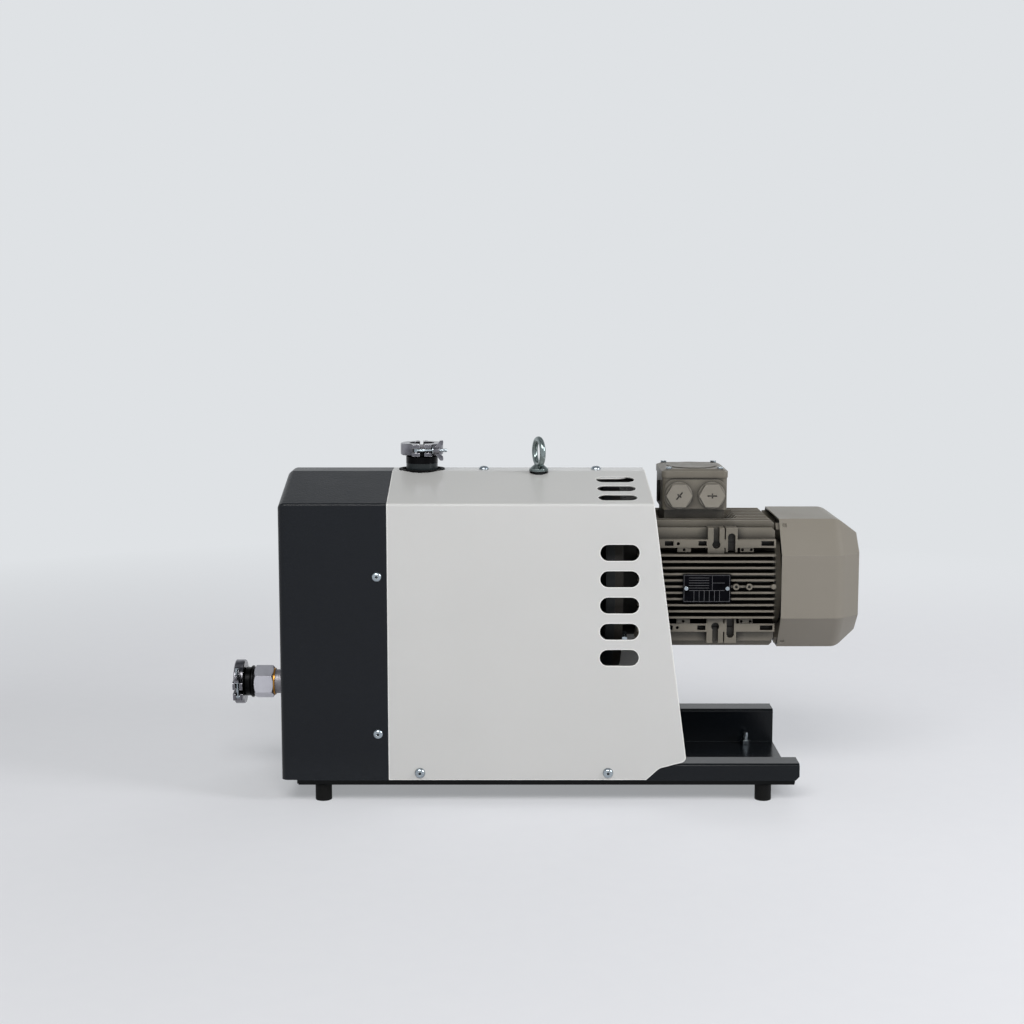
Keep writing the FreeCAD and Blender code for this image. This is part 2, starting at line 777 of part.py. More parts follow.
def pump_cylinder():
    # figure-of-eight chamber in a ribbed jacket, inlet flange on top
    outer = rotor_tip_radius + cylinder_wall
    parts = [stadium_x(x_chamber_left, x_chamber_right, outer),
             pump_foot(x_chamber_left, x_chamber_right, outer)]
    pitch = rotor_length / (cylinder_rib_count + 1)
    for k in range(cylinder_rib_count):
        x = x_chamber_left + pitch * (k + 1)
        parts.append(stadium_x(x - 1.5, x + 1.5, outer + cylinder_rib))
    seat = inlet_seat_z()
    parts.append(rod_z(motor_axis_z + rotor_tip_radius + 4, seat, rotor_length / 2 - 1, x_inlet))
    body = fuse_all(parts)
    bore = [rod_x(x_chamber_left - 1, x_chamber_right + 1, rotor_tip_radius + rotor_gap, 0, z)
            for z in (motor_axis_z, idle_axis_z)]
    body = body.cut(bore + [rod_z(motor_axis_z, seat + 1, inlet_bore_radius, x_inlet)])
    foot_floor = box(x_chamber_left - 1, x_chamber_right + 1, -200, 200, pump_foot_z - 50, pump_foot_z)
    body = body.cut(foot_floor)
    return screw_holes(body, rotor_tip_radius + cylinder_wall / 2, x_chamber_left - 1, x_chamber_right + 1)


def inlet_seat_z():
    return motor_axis_z + rotor_tip_radius + cylinder_wall + 12


def gear_room_radius():
    return pitch_radius + pitch_radius * 2 / gear_teeth + gear_room_gap


def gearbox_radius():
    return gear_room_radius() + gear_room_wall + gearbox_rim


def gearbox_housing():
    # bearing wall towards the chamber and an open gear room behind it
    outer = gearbox_radius()
    wall = stadium_x(x_chamber_right, x_gear_room, rotor_tip_radius + cylinder_wall)
    shell = stadium_x(x_gear_room - 1, x_gearbox_cover, outer)
    foot = pump_foot(x_gear_room, x_gearbox_cover, outer)
    bosses = [rod_y(-outer - fitting_boss, -outer + 6, radius, x, z)
              for x, z, radius in gearbox_fitting_places()]
    body = fuse_all([wall, shell, foot] + bosses)
    room = stadium_x(x_gear_room, x_gearbox_cover + 1, gear_room_radius())
    cutters = [room]
    for z in (motor_axis_z, idle_axis_z):
        cutters.append(rod_x(x_chamber_right + seal_width, x_gear_room + 1,
                             bearing_radius + fit_gap / 10, 0, z))
        cutters.append(rod_x(x_chamber_right - 1, x_gear_room, seal_radius + fit_gap / 10, 0, z))
    for x, z, radius in gearbox_fitting_places():
        cutters.append(rod_y(-outer - 10, 0, radius - 5, x, z))
    cutters.append(box(x_chamber_right - 1, x_gearbox_cover + 1, -200, 200, pump_foot_z - 50, pump_foot_z))
    body = body.cut(cutters)
    body = screw_holes(body, rotor_tip_radius + cylinder_wall / 2, x_chamber_right - 1, x_chamber_right + 19)
    return screw_holes(body, outer - 6, x_gearbox_cover - 26, x_gearbox_cover + 1)


def gearbox_fitting_places():
    # oil fill plug, sight glass and drain plug on the front wall: x, z and boss radius
    x = (x_gear_room + x_gearbox_cover) / 2
    return [(x, motor_axis_z - fill_plug_drop, plug_boss_radius),
            (x, idle_axis_z + sight_glass_rise, sight_boss_radius),
            (x, idle_axis_z + drain_plug_rise, plug_boss_radius)]


def gearbox_cover():
    outer = gearbox_radius()
    x0 = x_gearbox_cover + gasket_thickness
    plate = stadium_x(x0, x_bell - 12, outer)
    nose = rod_x(x_bell - 13, x_bell, bell_inner_radius + bell_wall + 12, 0, motor_axis_z)
    low_hub = rod_x(x_bell - 13, x_bell - 6, bearing_radius + 6, 0, idle_axis_z)
    body = fuse_all([plate, nose, low_hub])
    cutters = [rod_x(x0 - 1, x_bell + 1, journal_radius + 2, 0, motor_axis_z),
               rod_x(x_bell - seal_width - 4, x_bell + 1, seal_radius + fit_gap / 10, 0, motor_axis_z),
               rod_x(x0 - 1, x0 + 8, journal_radius + 4, 0, idle_axis_z)]
    body = body.cut(cutters)
    body = body.cut([rod_x(x_bell - 12, x_bell + 1, casing_screw / 2 + 2.9 + 4, y, z)
                     for y, z in casing_screw_places(outer - 6)])
    body = body.cut([rod_x(x_bell - 12, x_bell + 1, casing_screw / 2 + 0.2, y, z)
                     for y, z in bell_screw_places()])
    return screw_holes(body, outer - 6, x0 - 1, x_bell + 1)


def gearbox_gasket():
    outer = gearbox_radius()
    body = stadium_x(x_gearbox_cover, x_gearbox_cover + gasket_thickness, outer)
    body = body.cut(stadium_x(x_gearbox_cover - 1, x_gearbox_cover + 2, gear_room_radius()))
    return screw_holes(body, outer - 6, x_gearbox_cover - 1, x_gearbox_cover + 2)


def casing_screws():
    # through screws of the chamber from the left, and of the gearbox cover from the right
    screws = []
    x = x_chamber_left - end_plate
    for y, z in casing_screw_places(rotor_tip_radius + cylinder_wall / 2):
        screws.append(hex_bolt(Vec(x, y, z), Vec(-1, 0, 0), casing_screw, end_plate + rotor_length + 17))
    outer = gearbox_radius()
    for y, z in casing_screw_places(outer - 6):
        screws.append(hex_bolt(Vec(x_bell - 12, y, z), along_x, casing_screw, gearbox_cover_plate - 12 + 22))
    return Part.makeCompound(screws)


def bell_screw_places():
    radius = bell_inner_radius + bell_wall + casing_screw
    return [(radius * math.cos(math.radians(30 + 60 * k)),
             motor_axis_z + radius * math.sin(math.radians(30 + 60 * k))) for k in range(6)]


def trace(turn, radius):
    # path of a point of one rotor seen from its mate, as both turn at the same speed
    x = shaft_spacing * math.cos(turn) - radius * math.cos(2 * turn)
    y = -shaft_spacing * math.sin(turn) + radius * math.sin(2 * turn)
    return math.hypot(x, y), math.atan2(y, x)


def trace_end(radius, reach):
    # turn at which the traced path is as far from the shaft as reach
    return math.acos((shaft_spacing ** 2 + radius ** 2 - reach ** 2) / (2 * shaft_spacing * radius))


def claw_outline():
    # half of the two-claw outline: pocket wall, root, hooked flank, tip, back and pitch circle
    tip = rotor_tip_radius - rotor_gap
    pitch = pitch_radius - rotor_gap / 2
    ease = 1.5 * rotor_gap / rotor_tip_radius
    land = math.radians(claw_tip_angle)
    steps = 8

    def path(points):
        curve = Part.BSplineCurve()
        curve.interpolate([Vec(0, r * math.cos(a), r * math.sin(a)) for r, a in points])
        return curve.toShape()

    def arc(radius, start, end):
        middle = (start + end) / 2
        ends = [Vec(0, radius * math.cos(a), radius * math.sin(a)) for a in (start, middle, end)]
        return Part.Arc(*ends).toShape()

    wall_end = trace_end(rotor_tip_radius, pitch)
    wall = [trace(wall_end * k / steps, rotor_tip_radius) for k in range(steps, -1, -1)]
    wall = [(r, -a - land - ease) for r, a in wall]
    hook_end = trace_end(rotor_tip_radius, tip)
    hook = [trace(hook_end * k / steps, rotor_tip_radius) for k in range(steps + 1)]
    hook = [(r, a + ease) for r, a in hook]
    back_end = trace_end(pitch_radius, tip + rotor_gap / 2)
    back = [trace(back_end * k / steps, pitch_radius) for k in range(steps, -1, -1)]
    shift = land - ease - back[0][1]
    back = [(r - rotor_gap / 2, a + shift) for r, a in back]
    half = [path(wall), arc(rotor_root_radius, wall[-1][1], hook[0][1]), path(hook),
            arc(tip, hook[-1][1], back[0][1]), path(back),
            arc(pitch, back[-1][1], wall[0][1] + math.pi)]
    return half


def claw_rotor(axis_z, base_angle):
    # two claws half a turn apart; base_angle points to the mate when the hooks meet
    edges = []
    for k in range(2):
        for edge in claw_outline():
            copy = edge.copy()
            copy.rotate(Vec(0, 0, 0), along_x, 180 * k + base_angle)
            edges.append(copy)
    face = Part.Face(Part.Wire(Part.__sortEdges__(edges)))
    x0 = x_chamber_left + rotor_end_gap
    length = rotor_length - 2 * rotor_end_gap
    rotor = face.extrude(Vec(length, 0, 0))
    rotor.translate(Vec(x0, 0, axis_z))
    return rotor.cut(rod_x(x0 - 1, x0 + length + 1, rotor_hub_radius, 0, axis_z))


def drive_claw():
    return claw_rotor(motor_axis_z, -90 + claw_rest_turn)


def idle_claw():
    return claw_rotor(idle_axis_z, 90 - claw_rest_turn)


def pump_shaft(axis_z, x_end, end_radius):
    left = x_chamber_left - end_plate + 1
    hub_left = x_chamber_left + rotor_end_gap
    hub_right = x_chamber_right - rotor_end_gap
    step = x_gearbox_cover - 4
    corners = [(left, journal_radius - 1), (left + 1, journal_radius), (hub_left, journal_radius),
               (hub_left, rotor_hub_radius), (hub_right, rotor_hub_radius), (hub_right, journal_radius),
               (step, journal_radius), (step, end_radius), (x_end, end_radius)]
    return turned_x(corners, 0, axis_z)


def drive_shaft():
    return pump_shaft(motor_axis_z, x_spider() - 1, journal_radius - 0.5)


def idle_shaft():
    return pump_shaft(idle_axis_z, x_gearbox_cover + 6, journal_radius - 0.5)


def involute(angle):
    return math.tan(angle) - angle


def gear(axis_z, turn):
    # spur timing gear with involute flanks
    module = 2 * pitch_radius / gear_teeth
    tip, root = pitch_radius + module, pitch_radius - 1.25 * module
    pressure = math.radians(pressure_angle)
    base = pitch_radius * math.cos(pressure)
    slack = gear_backlash / 2 / pitch_radius

    def half_tooth(radius):
        return math.pi / 2 / gear_teeth - slack + involute(pressure) - involute(math.acos(base / radius))

    def at(radius, angle):
        return Vec(0, radius * math.cos(angle), radius * math.sin(angle))

    edges = []
    pitch_angle = 2 * math.pi / gear_teeth
    for k in range(gear_teeth):
        middle = k * pitch_angle
        following = middle + pitch_angle
        flank_radii = (root, pitch_radius, tip)
        rise = [at(r, middle - half_tooth(r)) for r in flank_radii]
        fall = [at(r, middle + half_tooth(r)) for r in reversed(flank_radii)]
        edges += [Part.Arc(*rise).toShape(), Part.makeLine(rise[-1], fall[0]), Part.Arc(*fall).toShape(),
                  Part.makeLine(fall[-1], at(root, following - half_tooth(root)))]
    blank = Part.Face(Part.Wire(edges)).extrude(Vec(gear_width, 0, 0))
    blank.rotate(Vec(0, 0, 0), along_x, turn)
    x0 = x_gear_room + 12
    blank.translate(Vec(x0, 0, axis_z))
    hub = rod_x(x0 - 6, x0 + gear_width + 6, 24, 0, axis_z)
    recess = [ring_x(x0 - 1, x0 + 5, root - 7, 24, 0, axis_z),
              ring_x(x0 + gear_width - 5, x0 + gear_width + 1, root - 7, 24, 0, axis_z)]
    body = blank.cut(recess).fuse(hub).removeSplitter()
    return body.cut(rod_x(x0 - 20, x0 + gear_width + 20, journal_radius, 0, axis_z))


def drive_gear():
    return gear(motor_axis_z, 90)


def idle_gear():
    return gear(idle_axis_z, 90 + 180 / gear_teeth)


def ball_bearing(x0, x1, outer, inner, axis_z):
    # sealed bearing: rings with a shallow recess for the seals on both faces
    low, high = inner + (outer - inner) * 0.28, outer - (outer - inner) * 0.22
    deep = 0.8
    corners = [Vec(x0, 0, axis_z + inner), Vec(x0, 0, axis_z + low), Vec(x0 + deep, 0, axis_z + low),
               Vec(x0 + deep, 0, axis_z + high), Vec(x0, 0, axis_z + high), Vec(x0, 0, axis_z + outer),
               Vec(x1, 0, axis_z + outer), Vec(x1, 0, axis_z + high), Vec(x1 - deep, 0, axis_z + high),
               Vec(x1 - deep, 0, axis_z + low), Vec(x1, 0, axis_z + low), Vec(x1, 0, axis_z + inner)]
    return turned(corners, Vec(0, 0, axis_z), along_x)


def pump_bearings():
    inner = journal_radius + journal_gap
    rings = []
    for z in (motor_axis_z, idle_axis_z):
        for x in (x_chamber_left - seal_width - bearing_width, x_chamber_right + seal_width):
            rings.append(ball_bearing(x, x + bearing_width, bearing_radius, inner, z))
    return Part.makeCompound(rings)


def shaft_seals():
    inner = journal_radius + journal_gap
    seals = []
    for z in (motor_axis_z, idle_axis_z):
        seals.append(ring_x(x_chamber_left - seal_width, x_chamber_left - 0.5, seal_radius, inner, 0, z))
        seals.append(ring_x(x_chamber_right + 0.5, x_chamber_right + seal_width, seal_radius, inner, 0, z))
    seals.append(ring_x(x_bell - seal_width - 4, x_bell - 3, seal_radius, inner - 0.5, 0, motor_axis_z))
    return Part.makeCompound(seals)


def bearing_caps():
    x = x_chamber_left - end_plate
    caps = []
    for z in (motor_axis_z, idle_axis_z):
        steps = [(x - 8, bearing_radius - 8), (x - 5, bearing_radius), (x - 5, bearing_radius + 6),
                 (x, bearing_radius + 6)]
        caps.append(turned_x(steps, 0, z))
    return Part.makeCompound(caps)


def oil_plugs():
    outer = gearbox_radius() + fitting_boss
    places = gearbox_fitting_places()
    plugs = []
    for x, z, radius in (places[0], places[2]):
        plug = hex_bar(Vec(x, -outer, z), Vec(0, -1, 0), plug_across_flats, 9)
        plugs.append(plug.fuse(rod_y(-outer, -outer + 12, radius - 5.2, x, z)))
    return Part.makeCompound(plugs)


def oil_sight_glass():
    outer = gearbox_radius() + fitting_boss
    x, z, radius = gearbox_fitting_places()[1]
    rim = rod_y(-outer - 5, -outer, radius - 1, x, z).cut(rod_y(-outer - 6, -outer - 2, radius - 6, x, z))
    return rim.fuse(rod_y(-outer, -outer + 12, radius - 5.2, x, z)).removeSplitter()


def x_motor_hub():
    return x_flange - motor_shaft_length


def x_spider():
    return x_motor_hub() - coupling_gap


def sector(x0, x1, inner, outer, middle, width):
    # ring segment round the motor's axis, angles in degrees
    wedge = ring_x(x0, x1, outer, inner, 0, 0)
    reach = outer * 2
    low, high = math.radians(middle - width / 2), math.radians(middle + width / 2)
    keep = outline([Vec(x0, 0, 0), Vec(x0, reach * math.cos(low), reach * math.sin(low)),
                    Vec(x0, reach * math.cos(high), reach * math.sin(high))]).extrude(Vec(x1 - x0, 0, 0))
    wedge = wedge.common(keep)
    wedge.translate(Vec(0, 0, motor_axis_z))
    return wedge


def coupling_hub(x0, x1, jaws_x0, jaws_x1, bore, phase):
    hub = rod_x(x0, x1, coupling_radius, 0, motor_axis_z)
    inner = coupling_radius * 0.45
    jaws = [sector(jaws_x0, jaws_x1, inner, coupling_radius, phase + 120 * k, 38) for k in range(3)]
    body = fuse_all([hub] + jaws)
    return body.cut(rod_x(x0 - 1, x1 + 1, bore, 0, motor_axis_z))


def pump_coupling_hub():
    x1 = x_spider()
    jaw_end = x1 + coupling_gap - 1
    return coupling_hub(x1 - coupling_hub_length, x1, x1 - 1, jaw_end, journal_radius - 0.5, 90)


def motor_coupling_hub():
    x0 = x_motor_hub()
    return coupling_hub(x0, x0 + coupling_hub_length, x0 - coupling_gap + 1, x0 + 1, motor_shaft_radius, 150)


def coupling_spider():
    # elastic star between the jaws
    x0, x1 = x_spider() + 0.6, x_motor_hub() - 0.6
    core = coupling_radius * 0.2
    legs = [sector(x0, x1, core, coupling_radius - 0.5, 60 + 60 * k, 21) for k in range(6)]
    ring = ring_x(x0, x1, coupling_radius * 0.42, core, 0, motor_axis_z)
    return fuse_all([ring] + legs)


def bladed_wheel(x0, x1, outer, hub, bore, blades, thickness):
    # back plate, hub and straight radial blades
    plate = rod_x(x0, x0 + thickness, outer, 0, 0)
    centre = rod_x(x0, x1, hub, 0, 0)
    vanes = []
    for k in range(blades):
        vane = box(x0, x1, -thickness / 2, thickness / 2, hub * 0.8, outer - 1)
        vane.rotate(Vec(0, 0, 0), along_x, 360 * k / blades)
        vanes.append(vane)
    wheel = fuse_all([plate, centre] + vanes)
    wheel = wheel.cut(rod_x(x0 - 1, x1 + 1, bore, 0, 0))
    wheel.translate(Vec(0, 0, motor_axis_z))
    return wheel


def cooling_fan():
    x1 = x_spider() - coupling_hub_length - 1
    x0 = x1 - cooling_fan_width
    return bladed_wheel(x0, x1, cooling_fan_radius, 20, journal_radius - 0.5, cooling_fan_blades, 2)


def bell_housing():
    # lantern between gearbox and motor, with air windows and a boss for the lifting post
    inner, outer = bell_inner_radius, bell_inner_radius + bell_wall
    left_flange = outer + casing_screw * 1.8
    flange_back = x_flange - bell_flange
    body = turned_x([(x_bell, left_flange), (x_bell + 8, left_flange), (x_bell + 8, outer),
                     (flange_back - 7, outer), (flange_back, outer + 7), (flange_back, flange_radius),
                     (x_flange, flange_radius)], 0, motor_axis_z, inner)
    x_post = x_seam + eye_from_seam
    shoulder = roof_under_z(abs(eye_offset_y) + eye_post_radius + eye_post_step) - eye_post_step / 2
    boss = rod_z(motor_axis_z + inner * 0.9, shoulder, eye_post_radius + eye_post_step, x_post, eye_offset_y)
    neck = rod_z(shoulder - 1, eye_boss_z(), eye_post_radius, x_post, eye_offset_y)
    body = body.fuse([boss, neck])
    body = body.cut(rod_x(x_bell - 1, x_flange + 1, inner, 0, motor_axis_z))
    body = body.cut(rod_x(x_flange - 5, x_flange + 1, 90.2, 0, motor_axis_z))
    windows = []
    length = bell_length - 62
    for k in range(bell_window_count):
        window = box(x_bell + 32, x_bell + 32 + length, -14, 14, inner - 10, outer + 30)
        window.rotate(Vec(0, 0, 0), along_x, 360 * (k + 0.5) / bell_window_count)
        window.translate(Vec(0, 0, motor_axis_z))
        windows.append(window)
    body = body.cut(windows)
    body = body.cut([rod_x(x_bell - 1, x_bell + 9, casing_screw / 2 + 0.2, y, z)
                     for y, z in bell_screw_places()])
    body = body.cut([rod_x(x_flange - 14, x_flange + 1, flange_bolt / 2 + 0.2, y, z)
                     for y, z in flange_bolt_places()])
    return body.cut(rod_z(eye_boss_z() - eye_shank_length - 2, eye_boss_z() + 1, eye_shank_radius + 0.2,
                          x_post, eye_offset_y))


def eye_boss_z():
    return eye_collar_z() - 0.1


def flange_bolt_places():
    return [(flange_bolt_radius * math.cos(math.radians(45 + 90 * k)),
             motor_axis_z + flange_bolt_radius * math.sin(math.radians(45 + 90 * k))) for k in range(4)]


def bell_bolts():
    bolts = [hex_bolt(Vec(x_bell + 8, y, z), along_x, casing_screw, 19) for y, z in bell_screw_places()]
    for y, z in flange_bolt_places():
        seat = Vec(x_flange + flange_thickness, y, z)
        bolts.append(hex_bolt(seat, along_x, flange_bolt, flange_thickness + bell_flange * 2))
        bolts.append(hex_nut(Vec(x_flange - bell_flange, y, z), Vec(-1, 0, 0), flange_bolt))
    return Part.makeCompound(bolts)


def motor_flange():
    # drive-end shield with the mounting flange and the bearing seat
    x = x_flange
    body = turned_x([(x - 4, 90), (x, 90), (x, flange_radius), (x + flange_thickness, flange_radius),
                     (x + flange_thickness, housing_radius + 8), (x + housing_left, housing_radius + 8)],
                    0, motor_axis_z, motor_shaft_radius + 3)
    body = body.cut(rod_x(x + 22, x + housing_left + 1, stator_radius, 0, motor_axis_z))
    body = body.cut(rod_x(x + 5, x + 22 + 1, motor_bearing_radius + fit_gap / 10, 0, motor_axis_z))
    return body.cut([rod_x(x - 1, x + flange_thickness + 1, flange_bolt / 2 + 0.2, y, z)
                     for y, z in flange_bolt_places()])


def fin_plate(x0, x1, low, high, cut_left, cut_right):
    # upright fin in the XZ plane with its outer corners cut off
    points = [Vec(x0, 0, low), Vec(x0, 0, high - cut_left), Vec(x0 + cut_left, 0, high),
              Vec(x1 - cut_right, 0, high), Vec(x1, 0, high - cut_right), Vec(x1, 0, low)]
    fin = outline(points).extrude(Vec(0, fin_thickness, 0))
    fin.translate(Vec(0, -fin_thickness / 2, 0))
    return fin


def side_fins():
    # horizontal fins on the front of the housing, drawn about the axis
    fins = []
    x0, x1 = x_flange + housing_left, x_flange + housing_right - 2
    for k in range(fin_count):
        z = (k - (fin_count - 1) / 2) * fin_pitch
        fin = fin_plate(x0, x1, housing_radius - 14, fin_reach, 3, 3)
        fin.rotate(Vec(0, 0, 0), along_x, 90)
        fin.translate(Vec(0, 0, z))
        fins.append(fin)
    return fins


def upright_fins():
    # fins above and below the axis; the upper ones leave room for the terminal box
    fins = []
    left, right = x_flange + housing_left, x_flange + housing_right - 2
    box_x0, box_x1 = x_flange + box_left, x_flange + box_left + box_length
    half = (top_fin_count - 1) / 2
    rows = [((k - half) * top_fin_pitch, top_fin_reach) for k in range(top_fin_count)]
    rows += [(-outer_fin_offset, outer_fin_reach), (outer_fin_offset, outer_fin_reach)]
    for y, reach in rows:
        low = math.sqrt(max(housing_radius ** 2 - y ** 2, 0)) - 6
        if abs(y) > 60:
            low = foot_pad_high - 4
        spans = [(left, box_x0 - 2, 6, 2), (box_x1 + 4, right, 12, 4)]
        if abs(y) > neck_depth / 2 + 4:
            spans = [(left, right, 6, 4)]
        for x0, x1, cut_left, cut_right in spans:
            fin = fin_plate(x0, x1, low, reach, cut_left, cut_right)
            fin.translate(Vec(0, y, 0))
            fins.append(fin)
        under = fin_plate(left, right, low, reach, 6, 4).mirror(Vec(0, 0, 0), along_z)
        under.translate(Vec(0, y, 0))
        fins.append(under)
    return fins


def foot_pads():
    # machined foot seat on the upper front edge: rail, pockets, notched block and arched block
    x0, x1 = x_flange + housing_left, x_flange + housing_right - 2
    inner = housing_radius * 0.62
    front = -foot_pad_reach
    low, high = foot_pad_low, foot_pad_high
    rail = box(x0, x1, front, -inner, low, high)
    x_notch, x_arch = x_flange + foot_notch_from_flange, x_flange + foot_arch_from_flange
    block = box(x_notch - 11.5, x_notch + 10.7, front, -inner, low - 8, foot_block_top)
    arch = box(x_arch - 7.8, x_arch + 7.8, front, -inner, low - 6, foot_block_top)
    small = [box(x - 9, x + 9, front + 1, -inner, low - 6, low) for x in (x_flange + 94, x_flange + 178)]
    body = fuse_all([rail, block, arch] + small)
    pockets = ((x0 + 36, x_flange + 79.7), (x_flange + 113, x_flange + 124), (x_flange + 197, x1 - 2.5))
    deep = front + foot_pocket_depth
    cutters = [box(left, right, front - 1, deep, low + 2.5, high - 2) for left, right in pockets]
    cutters.append(box(x_notch - 4, x_notch + 4, front - 1, deep, low + 2, foot_block_top + 1))
    cutters.append(rod_y(front - 1, deep, 5.5, x_notch, low + 4))
    arch_top = foot_block_top - 12
    cutters.append(box(x_arch - 5, x_arch + 5, front - 1, deep, low - 7, arch_top))
    cutters.append(rod_y(front - 1, deep, 5, x_arch, arch_top))
    cutters.append(rod_y(front - 1, deep, 2.2, x_flange + 86, (low + high) / 2))
    for x in (x_flange + 94, x_flange + 172, x_flange + 184):
        cutters.append(rod_y(front - 1, front + 12, 2.0, x, low - 3))
    body = body.cut(cutters)
    lower = body.mirror(Vec(0, 0, 0), along_z)
    return both_sides(body) + both_sides(lower)


def plate_bosses():
    # posts on the middle fin: two behind the rating plate, two open ones and one by the cowl
    posts = []
    z = 0.0
    for x in plate_screw_places():
        posts.append(rod_y(-fin_reach - 1.5, -housing_radius + 6, 3.6, x, -plate_below_axis))
    for x in (x_flange + plate_left + plate_length + 7.2, x_flange + plate_left + plate_length + 24.8):
        post = rod_y(-fin_reach - 2.5, -housing_radius + 6, 4.2, x, z)
        posts.append(post.cut(rod_y(-fin_reach - 3, -fin_reach + 8, 2.1, x, z)))
    posts.append(rod_y(-fin_reach - 1, -housing_radius + 6, 3.4, x_flange + housing_right - 5, z))
    return posts


def plate_screw_places():
    inset = 4.5
    left = x_flange + plate_left
    return (left + inset, left + plate_length - inset)


def motor_housing():
    # cast stator housing with fins, foot seats and the neck under the terminal box
    x0, x1 = x_flange + housing_left, x_flange + housing_right
    barrel = rod_x(x0, x1, housing_radius)
    neck_x0 = x_flange + box_left + (box_length - neck_length) / 2
    neck = box(neck_x0, neck_x0 + neck_length, -neck_depth / 2, neck_depth / 2,
               housing_radius * 0.6, box_bottom_z - motor_axis_z)
    fins = side_fins()
    fins += [mirror_y(fin) for fin in fins]
    body = fuse_all([barrel, neck] + fins + upright_fins() + foot_pads() + plate_bosses())
    body = body.cut(rod_x(x0 - 1, x1 + 1, stator_radius))
    inside = box(neck_x0 + 8, neck_x0 + neck_length - 8, -neck_depth / 2 + 8, neck_depth / 2 - 8,
                 0, box_bottom_z - motor_axis_z + 1)
    body = body.cut(inside)
    body.translate(Vec(0, 0, motor_axis_z))
    return body


def stator_core():
    x0, x1 = x_flange + core_left, x_flange + core_right
    return ring_x(x0, x1, stator_radius - 0.02, stator_bore, 0, motor_axis_z)


def stator_windings():
    coils = []
    left, right = x_flange + core_left, x_flange + core_right
    inner, outer = stator_bore + 3, stator_radius - 5
    for x0, x1, radii in ((left - winding_reach, left, [winding_edge, winding_edge, 0, 0]),
                          (right, right + winding_reach, [0, 0, winding_edge, winding_edge])):
        points = [Vec(x0, 0, inner), Vec(x0, 0, outer), Vec(x1, 0, outer), Vec(x1, 0, inner)]
        coil = outline(points, radii).revolve(Vec(0, 0, 0), along_x, 360)
        coil.translate(Vec(0, 0, motor_axis_z))
        coils.append(coil)
    return Part.makeCompound(coils)


def motor_rotor():
    # laminated core with an end ring on each side
    x0, x1 = x_flange + core_left - 2, x_flange + core_right + 2
    outer = stator_bore - air_gap
    ring, inner = outer - 3, outer - 12
    steps = [(x0 - 8, inner), (x0 - 8, ring), (x0, ring), (x0, outer),
             (x1, outer), (x1, ring), (x1 + 8, ring), (x1 + 8, inner)]
    return turned_x(steps, 0, motor_axis_z, motor_core_radius)


def motor_shaft():
    x = x_flange
    seat = motor_bearing_bore
    end = x - motor_shaft_length
    left_seat = x + left_bearing + bearing_width + 2
    right_seat = x + right_bearing - 10
    steps = [(end, motor_shaft_radius - 1), (end + 1, motor_shaft_radius), (x + 2, motor_shaft_radius),
             (x + 2, seat), (left_seat, seat), (left_seat, motor_core_radius),
             (right_seat, motor_core_radius), (right_seat, seat), (right_seat + 34, seat), (right_seat + 34, fan_seat_radius),
             (right_seat + 62, fan_seat_radius)]
    return turned_x(steps, 0, motor_axis_z)


def motor_bearings():
    inner = motor_bearing_bore + journal_gap
    rings = []
    for x0 in (x_flange + left_bearing, x_flange + right_bearing):
        rings.append(ball_bearing(x0, x0 + bearing_width, motor_bearing_radius, inner, motor_axis_z))
    return Part.makeCompound(rings)


def rear_shield():
    # fan-end shield with its bearing seat
    x = x_flange + housing_right
    steps = [(x, housing_radius + 4), (x + 8, housing_radius + 2), (x + 11, motor_bearing_radius + 8)]
    body = turned_x(steps, 0, motor_axis_z, motor_bearing_bore + 1)
    collar = ring_x(x - 9, x + 1, motor_bearing_radius + 6, motor_bearing_bore + 1, 0, motor_axis_z)
    body = body.fuse(collar).removeSplitter()
    body = body.cut(rod_x(x - 10, x + 7.5, motor_bearing_radius + fit_gap / 10, 0, motor_axis_z))
    return fuse_all([body] + cowl_clips())


def motor_fan():
    x0 = x_flange + housing_right + 18
    return bladed_wheel(x0, x0 + 26, motor_fan_radius - 4, 20, fan_seat_radius, motor_fan_blades, 2.5)


def octagon(x, half_width, half_height, side_half, top_half):
    points = [(-half_width, side_half), (-top_half, half_height), (top_half, half_height),
              (half_width, side_half), (half_width, -side_half), (top_half, -half_height),
              (-top_half, -half_height), (-half_width, -side_half)]
    return [Vec(x, y, z) for y, z in points]


def bend_points(before, corner, after, radius):
    # points of the arc that rounds one corner of a profile
    to_before = (before - corner).normalize()
    to_after = (after - corner).normalize()
    half = to_before.getAngle(to_after) / 2
    back = radius / math.tan(half)
    middle = (to_before + to_after).normalize()
    mid = corner + middle * (radius / math.sin(half) - radius)
    return Part.Arc(corner + to_before * back, mid, corner + to_after * back).discretize(5)


def cowl_body(inset, left, end_inset):
    # octagonal prism that bends over into a taper and then into its end; a station is (x, step inwards)
    step = cowl_half_width - cowl_end_half_width
    start, taper = Vec(left, 0, 0), Vec(x_flange + cowl_taper, 0, 0)
    end = Vec(x_motor_end - cowl_rim - end_inset, step, 0)
    middle = end + Vec(0, step, 0)
    first = bend_points(start, taper, end, cowl_bend)
    last = bend_points(taper, end, middle, cowl_end_edge)

    def section(station):
        share = station.y / step
        width = cowl_half_width - inset - share * step
        height = cowl_half_height - inset - share * (cowl_half_height - cowl_end_half_height)
        top = cowl_top_half - 0.4 * inset - share * (cowl_top_half - cowl_end_top_half)
        corners = octagon(station.x, width, height, cowl_side_half - 0.4 * inset, top)
        return Part.makePolygon(corners + corners[:1])

    runs = [Part.makeLoft([section(start), section(first[0])], True, True),
            Part.makeLoft([section(point) for point in first], True, False),
            Part.makeLoft([section(first[-1]), section(last[0])], True, True),
            Part.makeLoft([section(point) for point in last], True, False)]
    return fuse_all(runs)


